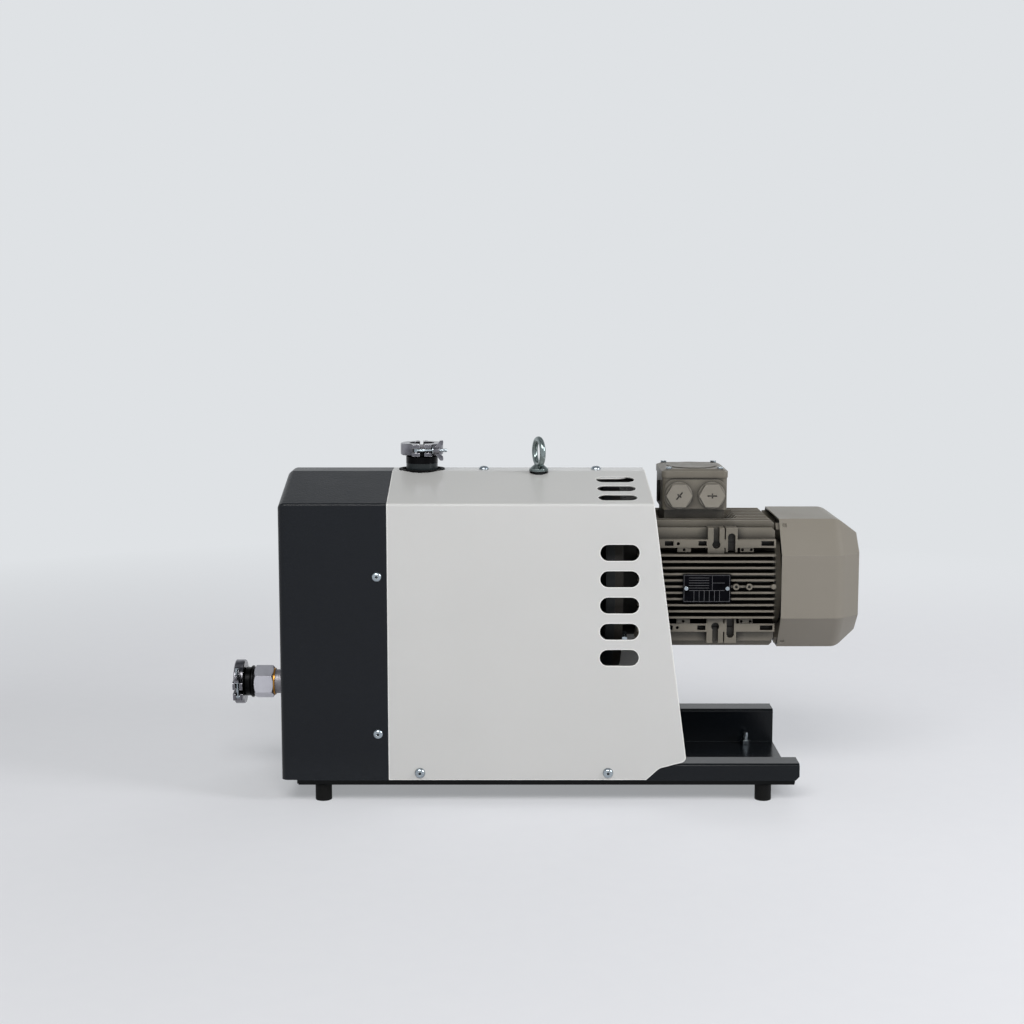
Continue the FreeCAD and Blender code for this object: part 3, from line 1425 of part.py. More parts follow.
def fan_cover():
    # pressed fan cowl with an air grille in its end
    left = x_flange + cowl_left
    shell = cowl_body(0, left, 0).cut(cowl_body(cowl_sheet, left - 5, cowl_sheet))
    x_end = x_motor_end - cowl_rim
    rim = ring_x(x_end - 1, x_motor_end, 30, 24)
    shell = shell.fuse(rim)
    slots = []
    for k in range(grille_ring_count):
        inner = 17 + 11.5 * k
        slots.append(ring_x(x_end - 10, x_motor_end + 5, inner + 6.5, inner))
    spokes = []
    for k in range(grille_spokes // 2):
        spoke = box(x_end - 11, x_motor_end + 6, -2.5, 2.5, -cowl_half_width, cowl_half_width)
        spoke.rotate(Vec(0, 0, 0), along_x, 180 * (k + 0.5) / (grille_spokes / 2))
        spokes.append(spoke)
    shell = shell.cut([slot.cut(spokes) for slot in slots])
    hole = cowl_clip / 2 + cowl_clip_gap
    x = left + cowl_clip_setback
    windows = [on_corner_face(box(x - hole, x + hole, -hole, hole, -5, 5), place)
               for place in cowl_clip_places()]
    shell = shell.cut(windows)
    shell.translate(Vec(0, 0, motor_axis_z))
    return shell


def cowl_clip_places():
    # middle of a clip on each slanting face, about the axis, and the way that face looks
    across, rise = cowl_half_width - cowl_top_half, cowl_half_height - cowl_side_half
    y = cowl_half_width - cowl_clip_share * across
    z = cowl_side_half + cowl_clip_share * rise
    look = math.atan2(across, rise)
    return [(y, z, look), (-y, z, math.pi - look), (-y, -z, math.pi + look), (y, -z, -look)]


def on_corner_face(shape, place):
    # turns a shape drawn on the plane z = 0 onto a slanting face of the cowl
    y, z, look = place
    shape.rotate(Vec(0, 0, 0), along_x, math.degrees(look) - 90)
    shape.translate(Vec(0, y, z))
    return shape


def cowl_clips():
    # tabs on the fan-end shield with a lug each that snaps into the cowl's square holes
    tabs = []
    x0 = x_flange + housing_right
    x = x_flange + cowl_left + cowl_clip_setback
    half = cowl_clip / 2
    for place in cowl_clip_places():
        tab = box(x0 + 0.2, x + cowl_clip, -cowl_clip, cowl_clip, -38, -cowl_sheet - fit_gap)
        lug = box(x - half, x + half, -half, half, -cowl_sheet - 1, -0.5)
        tab = on_corner_face(tab.fuse(lug), place)
        tab = tab.cut(rod_x(x0 + 13, x0 + 30, motor_fan_radius))
        tab.translate(Vec(0, 0, motor_axis_z))
        tabs.append(tab)
    return tabs


def rating_plate():
    # bare plate on the posts of the middle fin
    x0 = x_flange + plate_left
    y1 = -fin_reach - 1.5
    z = motor_axis_z - plate_below_axis
    plate = box(x0, x0 + plate_length, y1 - plate_thickness, y1, z - plate_height / 2, z + plate_height / 2)
    return plate


def plate_screws():
    screws = []
    y = -fin_reach - 1.5 - plate_thickness
    for x in plate_screw_places():
        screws.append(rod_y(y - 1.2, y, 2.6, x, motor_axis_z - plate_below_axis))
    return Part.makeCompound(screws)


def box_centre_x():
    return x_flange + box_left + box_length / 2


def terminal_box():
    # cast box, open at the top, with a raised pad for two plugs and an entry at the left
    x0 = x_flange + box_left
    x1 = x0 + box_length
    y = box_depth / 2
    body = box(x0, x1, -y, y, box_bottom_z, box_seam_z)
    body = body.makeFillet(box_corner, [e for e in body.Edges if e.BoundBox.ZLength > 20])
    left, right, low = x0 + pad_margin, x1 - pad_margin, box_bottom_z + pad_margin
    pad = outline([Vec(left, -y - pad_proud, low), Vec(right, -y - pad_proud, low),
                   Vec(right, -y - pad_proud, pad_top_z), Vec(left, -y - pad_proud, pad_top_z)],
                  [pad_corner] * 4).extrude(Vec(0, pad_proud + 2, 0))
    body = body.fuse(pad).removeSplitter()
    body = body.cut(box(x0 + box_wall, x1 - box_wall, -y + box_wall, y - box_wall,
                        box_bottom_z + box_wall, box_seam_z + 1))
    posts = [rod_z(box_bottom_z + 1, box_seam_z, box_post_radius, px, py) for px, py in lid_screw_places()]
    body = fuse_all([body] + posts)
    holes = [rod_y(-y - 10, -y + 10, 12.2, x, gland_z) for x in gland_places()]
    holes.append(rod_x(x0 - 1, x0 + box_wall + 1, 12.0, 0, gland_z))
    holes.append(box(x0 + 16, x1 - 16, -24, 24, box_bottom_z - 1, box_bottom_z + box_wall + 1))
    holes += [rod_z(box_seam_z - 12, box_seam_z + 1, lid_screw / 2 + 0.05, px, py)
              for px, py in lid_screw_places()]
    return body.cut(holes)


def gland_places():
    return (box_centre_x() - gland_spacing / 2, box_centre_x() + gland_spacing / 2)


def gland_plugs():
    # hexagon plugs on round flanges with a cross recess, and the small plug on the right wall
    plugs = []
    seat = -box_depth / 2 - pad_proud
    face = seat - plug_flange - plug_head
    for x, turn in zip(gland_places(), (50, 0)):
        plug = hex_bar(Vec(x, face + plug_head, gland_z), Vec(0, -1, 0), gland_across_flats, plug_head)
        flange = rod_y(face + plug_head, seat, plug_flange_radius, x, gland_z)
        plug = plug.fuse([flange, rod_y(face + 1, seat + 9, 12.0, x, gland_z)]).removeSplitter()
        for half_length, half_width in ((6.5, 0.9), (0.9, 3.4)):
            slot = box(-half_length, half_length, -1, 2.5, -half_width, half_width)
            slot.Placement = FreeCAD.Placement(Vec(x, face, gland_z), FreeCAD.Rotation(along_y, -turn))
            plug = plug.cut(slot)
        plugs.append(plug)
    side = x_flange + box_left + box_length
    plugs.append(hex_bar(Vec(side, 14, gland_z - 2), along_x, 15, 5))
    return Part.makeCompound(plugs)


def entry_grommet():
    # dark bush in the left entry
    x0 = x_flange + box_left
    bush = ring_x(x0 - 2.5, x0, 14.5, 8.5, 0, gland_z)
    return bush.fuse(ring_x(x0 - 0.1, x0 + box_wall, 11.9, 8.5, 0, gland_z)).removeSplitter()


def lid_outline(grow, z, corner):
    # rounded rectangle round the box, drawn outwards by grow
    half_x, half_y = box_length / 2 + grow, box_depth / 2 + grow
    x = box_centre_x()
    points = [Vec(x - half_x, -half_y, z), Vec(x + half_x, -half_y, z), Vec(x + half_x, half_y, z),
              Vec(x - half_x, half_y, z)]
    return outline(points, [corner] * 4)


def terminal_lid():
    # shallow lid with a sloping border and a raised oval field
    edge_z = box_top_z - lid_crown
    corner = box_corner + lid_overhang
    skirt = lid_outline(lid_overhang, box_seam_z, corner).extrude(Vec(0, 0, edge_z - box_seam_z))
    border = lid_outline(lid_overhang, edge_z, corner)
    field = lid_outline(lid_overhang - lid_border, box_top_z, corner / 2)
    crown = Part.makeLoft([border.OuterWire, field.OuterWire], True, True)
    oval = Part.Ellipse(Vec(0, 0, 0), lid_oval_depth / 2, lid_oval_width / 2)
    oval = Part.Face(Part.Wire(oval.toShape())).extrude(Vec(0, 0, 2))
    oval.Placement = FreeCAD.Placement(Vec(box_centre_x(), 0, box_top_z - 1), FreeCAD.Rotation(along_z, 90))
    body = fuse_all([skirt, crown, oval])
    room = lid_outline(-box_wall, box_seam_z - 1, 2).extrude(Vec(0, 0, edge_z - 1 - box_seam_z))
    holes = [rod_z(box_seam_z - 1, box_top_z + 2, lid_screw / 2 + 0.1, px, py)
             for px, py in lid_screw_places()]
    return body.cut([room] + holes)


def lid_screw_places():
    dx, dy = box_length / 2 - lid_screw_inset, box_depth / 2 - lid_screw_inset
    return [(box_centre_x() + i * dx, j * dy) for i in (-1, 1) for j in (-1, 1)]


def lid_screws():
    screws = []
    for x, y in lid_screw_places():
        head = rod_z(box_top_z, box_top_z + lid_screw / 2, lid_screw * 0.87, x, y)
        screws.append(head.fuse(rod_z(box_seam_z - 8, box_top_z + 1, lid_screw / 2, x, y)).removeSplitter())
    return Part.makeCompound(screws)


def terminal_board():
    # moulded block with six studs
    x, z = box_centre_x(), box_bottom_z + box_wall
    y1 = box_depth / 2 - box_wall - 2
    block = box(x - 27, x + 27, y1 - 24, y1, z, z + 9)
    studs = [rod_z(z + 8, z + 24, 2.5, x + i * 18, y) for i in (-1, 0, 1) for y in (y1 - 18, y1 - 6)]
    return fuse_all([block] + studs)


def inlet_pipe():
    # inlet neck: bolted foot on the cylinder, tube up through the hood, valve seat inside
    seat = inlet_seat_z()
    foot_radius = rotor_length / 2 - 1
    r, bore = inlet_pipe_radius, inlet_bore_radius
    shelf = seat + 20
    profile = [(foot_radius, seat), (foot_radius, seat + 9), (r, seat + 13), (r, inlet_pipe_top_z),
               (bore + 1.2, inlet_pipe_top_z), (bore + 1.2, shelf), (bore - 4, shelf), (bore - 4, shelf - 4),
               (bore, shelf - 4), (bore, seat)]
    return turned([Vec(x_inlet + radius, 0, z) for radius, z in profile], Vec(x_inlet, 0, 0), along_z)


def valve_seat_z():
    return inlet_seat_z() + 20


def check_valve():
    # guided plate that lifts off its seat as the pump draws, and drops when it stops
    z = valve_seat_z()
    plate = rod_z(z, z + 3, inlet_bore_radius - 0.8, x_inlet)
    guide = rod_z(z + 2, z + 14, 3.0, x_inlet)
    return plate.fuse(guide).removeSplitter()


def inlet_adapter():
    # dark flanged ring on the neck; its spider guides and stops the valve plate
    r = inlet_pipe_radius + 0.2
    z0, z1 = inlet_pipe_top_z, flange_joint_z()
    flange = inlet_flange_radius
    bore = inlet_bore_radius - 1
    profile = [(bore, z0 - 4), (inlet_bore_radius + 1.1, z0 - 4), (inlet_bore_radius + 1.1, z0), (r, z0),
               (r, inlet_ring_top_z - 1.5), (r - 1.5, inlet_ring_top_z), (bore + 1, inlet_ring_top_z + 0.6),
               (bore + 1, z1 - 3.6), (flange, z1 - 1.6), (flange, z1), (bore, z1)]
    ring = turned([Vec(x_inlet + radius, 0, z) for radius, z in profile], Vec(x_inlet, 0, 0), along_z)
    low = valve_seat_z() + 19.2
    bars = [box(x_inlet - bore - 0.5, x_inlet + bore + 0.5, -2, 2, low, low + 2.6),
            box(x_inlet - 2, x_inlet + 2, -bore - 0.5, bore + 0.5, low, low + 2.6)]
    hoop = rod_z(low, z0 - 3.9, bore + 1.0, x_inlet).cut(rod_z(low - 1, z0, bore - 0.8, x_inlet))
    bars.append(hoop)
    bars.append(rod_z(low, low + 2.6, 7, x_inlet))
    body = fuse_all([ring] + bars)
    return body.cut(rod_z(low - 1, low + 4, 3.4, x_inlet))


def flange_joint_z():
    # plane where the two inlet flanges meet, the middle of the clamp
    return inlet_ring_top_z + inlet_clamp_height * 0.5 + 1.2


def inlet_cap():
    # blanking flange held by the clamp
    z = flange_joint_z()
    flange = inlet_flange_radius
    profile = [(0, z), (flange, z), (flange, z + 1.6), (flange - 3, z + 4), (0, z + 4)]
    corners = [Vec(x_inlet + radius, 0, height) for radius, height in profile]
    return turned(corners, Vec(x_inlet, 0, 0), along_z)


def clamp_ring(radius, height):
    # two hinged half rings with a vee groove inside, lugs at the front; axis Z, middle at z = 0
    half = height / 2
    groove = radius - clamp_wall
    lip = clamp_flange_radius(radius) - 2.6
    vee = height / 5
    profile = [(radius, -half + clamp_edge), (radius, half - clamp_edge), (radius - clamp_edge, half),
               (lip, half), (lip, half - clamp_lip), (groove, vee), (groove, -vee), (lip, -half + clamp_lip),
               (lip, -half), (radius - clamp_edge, -half)]
    ring = turned([Vec(r, 0, z) for r, z in profile], Vec(0, 0, 0), along_z)
    lug_low, lug_high = -radius - clamp_lug_reach, -radius + clamp_wall
    rear_high = radius + clamp_pin
    lug_reach = clamp_gap / 2 + clamp_lug
    front_lugs = box(-lug_reach, lug_reach, lug_low, lug_high, -half, half)
    corners = [e for e in front_lugs.Edges
               if e.BoundBox.ZLength > height - 1 and e.BoundBox.YMax < lug_low + 1]
    front_lugs = front_lugs.makeFillet(3, corners)
    rear_reach = clamp_rear_gap / 2 + 2 * clamp_pin
    rear_lugs = box(-rear_reach, rear_reach, radius - clamp_wall + 1, rear_high, -half, half)
    corners = [e for e in rear_lugs.Edges
               if e.BoundBox.ZLength > height - 1 and e.BoundBox.YMin > rear_high - 1]
    rear_lugs = rear_lugs.makeFillet(2.5, corners)
    ring = fuse_all([ring, front_lugs, rear_lugs])
    cutters = [turned([Vec(r, 0, z) for r, z in profile[3:9]] + [Vec(0, 0, -half), Vec(0, 0, half)],
                      Vec(0, 0, 0), along_z),
               box(-clamp_gap / 2, clamp_gap / 2, lug_low - 1, 0, -half - 1, half + 1),
               box(-clamp_rear_gap / 2, clamp_rear_gap / 2, 0, rear_high + 1, -half - 1, half + 1)]
    slot = clamp_screw / 2 + 0.5
    slot_end = clamp_screw_line(radius) + clamp_screw / 2 + 0.4
    cutters.append(box(-radius, radius, lug_low - 1, slot_end, -slot, slot))
    hollow = link_thickness / 2 + 0.1
    cutters.append(box(-radius, radius, radius - 1.2, rear_high + 1, -hollow, hollow))
    for x in (-clamp_link_reach(), clamp_link_reach()):
        cutters.append(rod_z(-half - 1, half + 1, clamp_pin / 2 + 0.02, x, clamp_pin_line(radius)))
    x, y = clamp_pivot(radius)
    cutters.append(rod_z(-half - 1, half + 1, clamp_pin / 2 + 0.02, x, y))
    return ring.cut(cutters)


def clamp_flange_radius(radius):
    # vacuum flange that a clamp of this outer radius closes round
    return inlet_flange_radius + radius - inlet_clamp_radius


def clamp_screw_line(radius):
    return -radius - clamp_screw_out


def clamp_pin_line(radius):
    return radius + 0.6


def clamp_link_reach():
    return clamp_rear_gap / 2 + clamp_pin


def clamp_pivot(radius):
    # pin in the left lug that the swing screw turns on
    return -clamp_gap / 2 - clamp_lug / 2, clamp_screw_line(radius)


def clamp_bolt(radius, height):
    # swing screw with its eye, pivot pin and washer, and the link with its two pins at the rear
    y = clamp_screw_line(radius)
    x_pivot, _ = clamp_pivot(radius)
    lug_face = clamp_gap / 2 + clamp_lug
    shank = rod_x(x_pivot, lug_face + wing_hub_length + 12, clamp_screw / 2 - 0.3, y, 0)
    eye = rod_z(-clamp_screw / 2, clamp_screw / 2, clamp_screw / 2, x_pivot, y)
    pins = [rod_z(-height / 2 + 0.4, height / 2 - 0.4, clamp_pin / 2, x_pivot, y)]
    washer = ring_x(lug_face, lug_face + washer_thickness, washer_radius, clamp_screw / 2 - 0.28, y, 0)
    y_pin, reach = clamp_pin_line(radius), clamp_link_reach()
    half = link_thickness / 2
    link = box(-reach, reach, y_pin - 1.7, y_pin + 2.0, -half, half)
    pins += [rod_z(-height / 2 + 0.4, height / 2 - 0.4, clamp_pin / 2, x, y_pin) for x in (-reach, reach)]
    return [fuse_all([shank, eye, pins[0]]), washer, fuse_all([link] + pins[1:])]


def wing_nut(radius):
    # hub and two rounded wings on the swing screw; the wings flare past the clamp's ring
    y = clamp_screw_line(radius)
    x0 = clamp_gap / 2 + clamp_lug + washer_thickness + 0.2
    hub_end = x0 + wing_hub_length
    hub = turned_x([(x0, wing_hub_radius), (hub_end, wing_hub_radius - 1.2)], y, 0, clamp_screw / 2 - 0.2)
    wings = []
    for side in (-1, 1):
        wing = outline([Vec(x0 + 2, 0, side * 3.4), Vec(x0 + 5.5, 0, side * 8.5),
                        Vec(x0 + 9.5, 0, side * wing_reach), Vec(x0 + 14, 0, side * wing_reach),
                        Vec(x0 + 13.5, 0, side * 8), Vec(hub_end - 0.5, 0, side * 3.2)],
                       [0, 0, 2.5, 2.0, 2.5, 0])
        wing = wing.extrude(Vec(0, wing_thickness, 0))
        wing.translate(Vec(0, y - wing_thickness / 2, 0))
        wings.append(wing)
    bore = rod_x(x0 - 1, x0 + 2 * wing_hub_length, clamp_screw / 2 - 0.2, y, 0)
    return fuse_all([hub] + wings).cut(bore)


def inlet_place():
    return FreeCAD.Placement(Vec(x_inlet, 0, flange_joint_z()), FreeCAD.Rotation(along_z, inlet_clamp_turn))


def exhaust_joint_x():
    return x_end_hood - exhaust_reach + exhaust_clamp_width / 2


def exhaust_place():
    turn = FreeCAD.Rotation(along_x, exhaust_clamp_turn).multiply(FreeCAD.Rotation(along_y, -90))
    return FreeCAD.Placement(Vec(exhaust_joint_x(), 0, exhaust_axis_z), turn)


def placed(shape, place):
    shape.Placement = place
    return shape


def clamp_halves():
    rings = [placed(clamp_ring(inlet_clamp_radius, inlet_clamp_height), inlet_place()),
             placed(clamp_ring(exhaust_clamp_radius, exhaust_clamp_width), exhaust_place())]
    return Part.makeCompound(rings)


def clamp_bolts():
    bolts = [placed(piece, inlet_place()) for piece in clamp_bolt(inlet_clamp_radius, inlet_clamp_height)]
    bolts += [placed(piece, exhaust_place())
              for piece in clamp_bolt(exhaust_clamp_radius, exhaust_clamp_width)]
    return Part.makeCompound(bolts)


def inlet_wing_nut():
    return placed(wing_nut(inlet_clamp_radius), inlet_place())


def exhaust_wing_nut():
    nut = wing_nut(exhaust_clamp_radius)
    nut.rotate(Vec(0, clamp_screw_line(exhaust_clamp_radius), 0), along_x, 90)
    nut.Placement = exhaust_place().multiply(nut.Placement)
    return nut


def exhaust_stations():
    # x of the outer faces along the exhaust line, from the clamp inwards
    joint = exhaust_joint_x()
    adapter = joint + exhaust_clamp_width / 2 + exhaust_cap_length
    socket = adapter + exhaust_hex_length
    ring = socket + sealing_ring_thickness
    return joint, adapter, socket, ring


def exhaust_adapter():
    # dark flanged connector screwed into the hexagon socket
    joint, end, _, _ = exhaust_stations()
    flange = clamp_flange_radius(exhaust_clamp_radius)
    r, rim = exhaust_cap_radius, exhaust_rim_radius
    clamp_face = joint + exhaust_clamp_width / 2
    steps = [(joint, flange), (joint + 1.6, flange), (clamp_face - 1, flange - 5), (clamp_face + 1, r),
             (end - 6, r), (end - 4, rim), (end - 2, rim), (end, r - 1), (end, exhaust_nipple_radius),
             (end + 10, exhaust_nipple_radius)]
    return turned_x(steps, 0, exhaust_axis_z, exhaust_bore_radius)


def exhaust_cap():
    # blanking flange on the exhaust
    joint = exhaust_joint_x()
    flange = clamp_flange_radius(exhaust_clamp_radius)
    return turned_x([(joint - 4.0, flange - 3), (joint - 1.6, flange), (joint, flange)], 0, exhaust_axis_z)


def exhaust_socket():
    # hexagon socket with chamfered ends, an edge to the front
    _, x0, x1, _ = exhaust_stations()
    flats = exhaust_hex_flats
    body = hex_bar(Vec(x0, 0, exhaust_axis_z), along_x, flats, x1 - x0, 30)
    corner = flats / math.sqrt(3)
    chamfer = 2.2
    steps = [(x0, flats / 2), (x0 + chamfer, corner), (x1 - chamfer, corner), (x1, flats / 2)]
    cone = turned_x(steps, 0, exhaust_axis_z)
    body = body.common(cone)
    return body.cut(rod_x(x0 - 1, x1 + 1, exhaust_nipple_radius + 0.02, 0, exhaust_axis_z))


def exhaust_nipple():
    # pipe nipple from the silencer out through the end hood
    _, _, x1, _ = exhaust_stations()
    return ring_x(x1 - 12, silencer_x0() + 14, exhaust_nipple_radius, exhaust_bore_radius, 0, exhaust_axis_z)


def sealing_ring():
    _, _, x0, x1 = exhaust_stations()
    return ring_x(x0, x1, exhaust_nipple_radius + 2.2, exhaust_nipple_radius + 0.02, 0, exhaust_axis_z)


def silencer_x0():
    return x_end_hood + 12


def silencer():
    # hollow sound box between the end plate's outlet port and the exhaust nipple
    x0, x1 = silencer_x0(), x_chamber_left - end_plate - 12
    y = pedestal_width / 2
    z0, z1 = exhaust_axis_z - 45, exhaust_port()[1] + 50
    body = box(x0, x1, -y, y, z0, z1)
    body = body.makeFillet(12, [e for e in body.Edges if e.BoundBox.XLength > x1 - x0 - 1])
    py, pz = exhaust_port()
    neck = rod_x(x1 - 1, x_chamber_left - end_plate, exhaust_bore_radius + 6, py, pz)
    boss = rod_x(x0, x0 + 14, exhaust_nipple_radius + 6, 0, exhaust_axis_z)
    room = box(x0 + 4, x1 - 4, -y + 4, y - 4, z0 + 4, z1 - 4)
    room = room.makeFillet(8, [e for e in room.Edges if e.BoundBox.XLength > x1 - x0 - 9])
    body = fuse_all([body.cut(room), neck, boss])
    baffle = box((x0 + x1) / 2 - 1.5, (x0 + x1) / 2 + 1.5, -y + 2, y - 2, z0 + 2, exhaust_axis_z + 60)
    body = fuse_all([body, baffle])
    return body.cut([rod_x(x1 - 6, x_chamber_left, exhaust_bore_radius, py, pz),
                     rod_x(x0 - 1, x0 + 15, exhaust_nipple_radius + 0.02, 0, exhaust_axis_z)])


def lifting_eye():
    # ring bolt: lifting ring on a collar, screwed into the post of the bell housing
    z0 = eye_collar_z()
    z1 = z0 + 3 + eye_collar_height
    collar = turned([Vec(0, 0, z0), Vec(eye_collar_radius, 0, z0), Vec(eye_collar_radius, 0, z0 + 3),
                     Vec(eye_bar_radius + 2, 0, z1), Vec(0, 0, z1)], Vec(0, 0, 0), along_z)
    shank = rod_z(z0 - eye_shank_length, z0 + 1, eye_shank_radius)
    ring_z = eye_top_z - eye_ring_radius - eye_bar_radius
    ring = Part.makeTorus(eye_ring_radius, eye_bar_radius, Vec(0, 0, ring_z), along_x)
    eye = fuse_all([collar, shank, ring])
    eye.rotate(Vec(0, 0, 0), along_z, eye_turn)
    eye.translate(Vec(x_seam + eye_from_seam, eye_offset_y, 0))
    return eye


def eye_collar_z():
    return ridge_z + 0.5


def closing_caps():
    return Part.makeCompound([inlet_cap(), exhaust_cap()])


def rubber_edgings():
    return Part.makeCompound(inlet_edging().Solids + entry_grommet().Solids)


def tray_fasteners():
    return Part.makeCompound(foot_nuts().Solids + tray_bolts().Solids)


def casing_bolts():
    return Part.makeCompound(casing_screws().Solids + bell_bolts().Solids)


def motor_screws():
    return Part.makeCompound(plate_screws().Solids + lid_screws().Solids)


def bearings():
    return Part.makeCompound(pump_bearings().Solids + motor_bearings().Solids)


def coupling_hubs():
    return Part.makeCompound([pump_coupling_hub(), motor_coupling_hub()])


def main():
    os.makedirs("parts", exist_ok=True)
    makers = [base_tray, foot_rails, rubber_feet, tray_fasteners, pump_pedestal,
              end_hood, main_hood, hood_frame, hood_screws, rubber_edgings,
              cylinder_cover, pump_cylinder, gearbox_housing, gearbox_gasket, gearbox_cover, casing_bolts,
              drive_claw, idle_claw, drive_shaft, idle_shaft, drive_gear, idle_gear,
              bearings, shaft_seals, bearing_caps, oil_plugs, oil_sight_glass,
              coupling_hubs, coupling_spider, cooling_fan, bell_housing,
              motor_flange, motor_housing, stator_core, stator_windings, motor_rotor, motor_shaft,
              rear_shield, motor_fan, fan_cover, rating_plate, motor_screws,
              terminal_box, gland_plugs, terminal_lid, terminal_board,
              inlet_pipe, check_valve, inlet_adapter, closing_caps, clamp_halves, clamp_bolts,
              inlet_wing_nut, exhaust_wing_nut, silencer, exhaust_nipple, sealing_ring, exhaust_socket,
              exhaust_adapter, lifting_eye]
    print(len(makers), "nodes")
    for maker in makers:
        shape = maker()
        shape.exportStep("parts/" + maker.__name__ + ".step")
        print(maker.__name__, len(shape.Solids), shape.isValid(), round(shape.Volume / 1000, 1))


main()
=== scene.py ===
import math
import bmesh
import bpy
from mathutils import Matrix, Vector
from numpy import interp


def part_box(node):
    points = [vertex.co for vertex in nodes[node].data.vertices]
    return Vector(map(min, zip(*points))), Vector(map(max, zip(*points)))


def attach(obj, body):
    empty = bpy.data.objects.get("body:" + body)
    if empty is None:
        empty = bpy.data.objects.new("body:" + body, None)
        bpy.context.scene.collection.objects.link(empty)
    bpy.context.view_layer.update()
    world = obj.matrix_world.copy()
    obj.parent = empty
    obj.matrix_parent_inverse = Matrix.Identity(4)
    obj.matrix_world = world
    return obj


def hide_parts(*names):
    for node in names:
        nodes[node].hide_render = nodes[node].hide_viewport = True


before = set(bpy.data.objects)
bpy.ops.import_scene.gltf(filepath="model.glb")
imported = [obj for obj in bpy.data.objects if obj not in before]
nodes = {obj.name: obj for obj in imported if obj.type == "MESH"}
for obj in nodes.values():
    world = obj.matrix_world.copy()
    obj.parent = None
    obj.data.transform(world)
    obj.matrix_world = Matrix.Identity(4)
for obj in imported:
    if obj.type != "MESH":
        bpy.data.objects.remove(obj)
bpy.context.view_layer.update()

# A dry claw vacuum pump under its two hoods, with the motor out at the right.
scene = bpy.context.scene
scene.view_settings.view_transform = "Standard"
mergeDistance = 0.000001      # metres: corners nearer than this are one corner


# materials

def hexColour(code):
    # sRGB hex to the linear values that the shader wants
    parts = [int(code[i:i + 2], 16) / 255 for i in (1, 3, 5)]
    linear = [p / 12.92 if p <= 0.04045 else ((p + 0.055) / 1.055) ** 2.4 for p in parts]
    return (*linear, 1.0)


def spots(place, spotMm, **more):
    # inputs of a pattern on Object coordinates whose spots have a real size
    return {"Vector": place, "Scale": 1000 / spotMm, **more}


def addNode(tree, kind, inputs=None, **settings):
    # one node with its settings and links: an input is a value, a hex colour or another node's output
    node = tree.nodes.new(kind)
    for name, value in settings.items():
        setattr(node, name, value)
    for name, value in (inputs or {}).items():
        if isinstance(value, bpy.types.NodeSocket):
            tree.links.new(value, node.inputs[name])
        else:
            node.inputs[name].default_value = hexColour(value) if isinstance(value, str) else value
    return node


def startMaterial(name, values):
    # a new material with its shader set, and the coordinates that its patterns use
    material = bpy.data.materials.new(name)
    material.use_nodes = True
    tree = material.node_tree
    shader = tree.nodes["Principled BSDF"]
    for socket, value in values.items():
        shader.inputs[socket].default_value = value
    place = addNode(tree, "ShaderNodeTexCoord").outputs["Object"]
    return material, tree, shader, place


noiseRange = (0.3, 0.7)       # a noise pattern seldom leaves this range
wholeRange = (0, 1)
cornerSamples = 6             # rays per point for rounded edges and for inner corners
cornerMatch = (0.85, 0.995)   # rounded normal against the flat one: all corner, and all face


def layOver(tree, pattern, base, colour, seen=noiseRange, share=wholeRange):
    # a colour laid over the base by a share that follows a pattern
    amount = addNode(tree, "ShaderNodeMapRange", {"Value": pattern, "From Min": seen[0], "From Max": seen[1],
                                                  "To Min": share[0], "To Max": share[1]})
    return addNode(tree, "ShaderNodeMix", {0: amount.outputs[0], 6: base, 7: colour},
                   data_type="RGBA").outputs[2]


def setShine(tree, shader, pattern, smooth, dull, seen=noiseRange):
    # roughness that goes from smooth to dull with a pattern
    level = addNode(tree, "ShaderNodeMapRange", {"Value": pattern, "From Min": seen[0], "From Max": seen[1],
                                                 "To Min": smooth, "To Max": dull})
    tree.links.new(level.outputs[0], shader.inputs["Roughness"])


def paintEdgeHighlight(tree, base, edge, edgeHighlightMm, share):
    # a paler colour painted where the surface turns a corner: a painted highlight along its edges
    rounded = addNode(tree, "ShaderNodeBevel", {"Radius": edgeHighlightMm / 1000}, samples=cornerSamples)
    face = addNode(tree, "ShaderNodeNewGeometry")
    match = addNode(tree, "ShaderNodeVectorMath", {0: rounded.outputs[0], 1: face.outputs["Normal"]},
                    operation="DOT_PRODUCT")
    return layOver(tree, match.outputs["Value"], base, edge, cornerMatch, (share, 0))


def paintCornerShade(tree, base, cornerShade):
    # painted shade in grooves and inner corners, full where closed in and gone where open
    exposure = addNode(tree, "ShaderNodeAmbientOcclusion", {"Distance": cornerShade["reachMm"] / 1000},
                       samples=cornerSamples)
    return layOver(tree, exposure.outputs["AO"], base, cornerShade["colour"], (cornerShade["closed"], cornerShade["open"]),
                   (cornerShade["share"], 0))


def addRelief(tree, shader, pattern, depthMm, strength, roundMm):
    # relief of a real depth, on top of edges rounded as paint, a mould or a file leaves them
    rounded = addNode(tree, "ShaderNodeBevel", {"Radius": roundMm / 1000}, samples=cornerSamples)
    bump = addNode(tree, "ShaderNodeBump", {"Strength": strength, "Distance": depthMm / 1000,
                                            "Height": pattern, "Normal": rounded.outputs[0]})
    tree.links.new(bump.outputs[0], shader.inputs["Normal"])
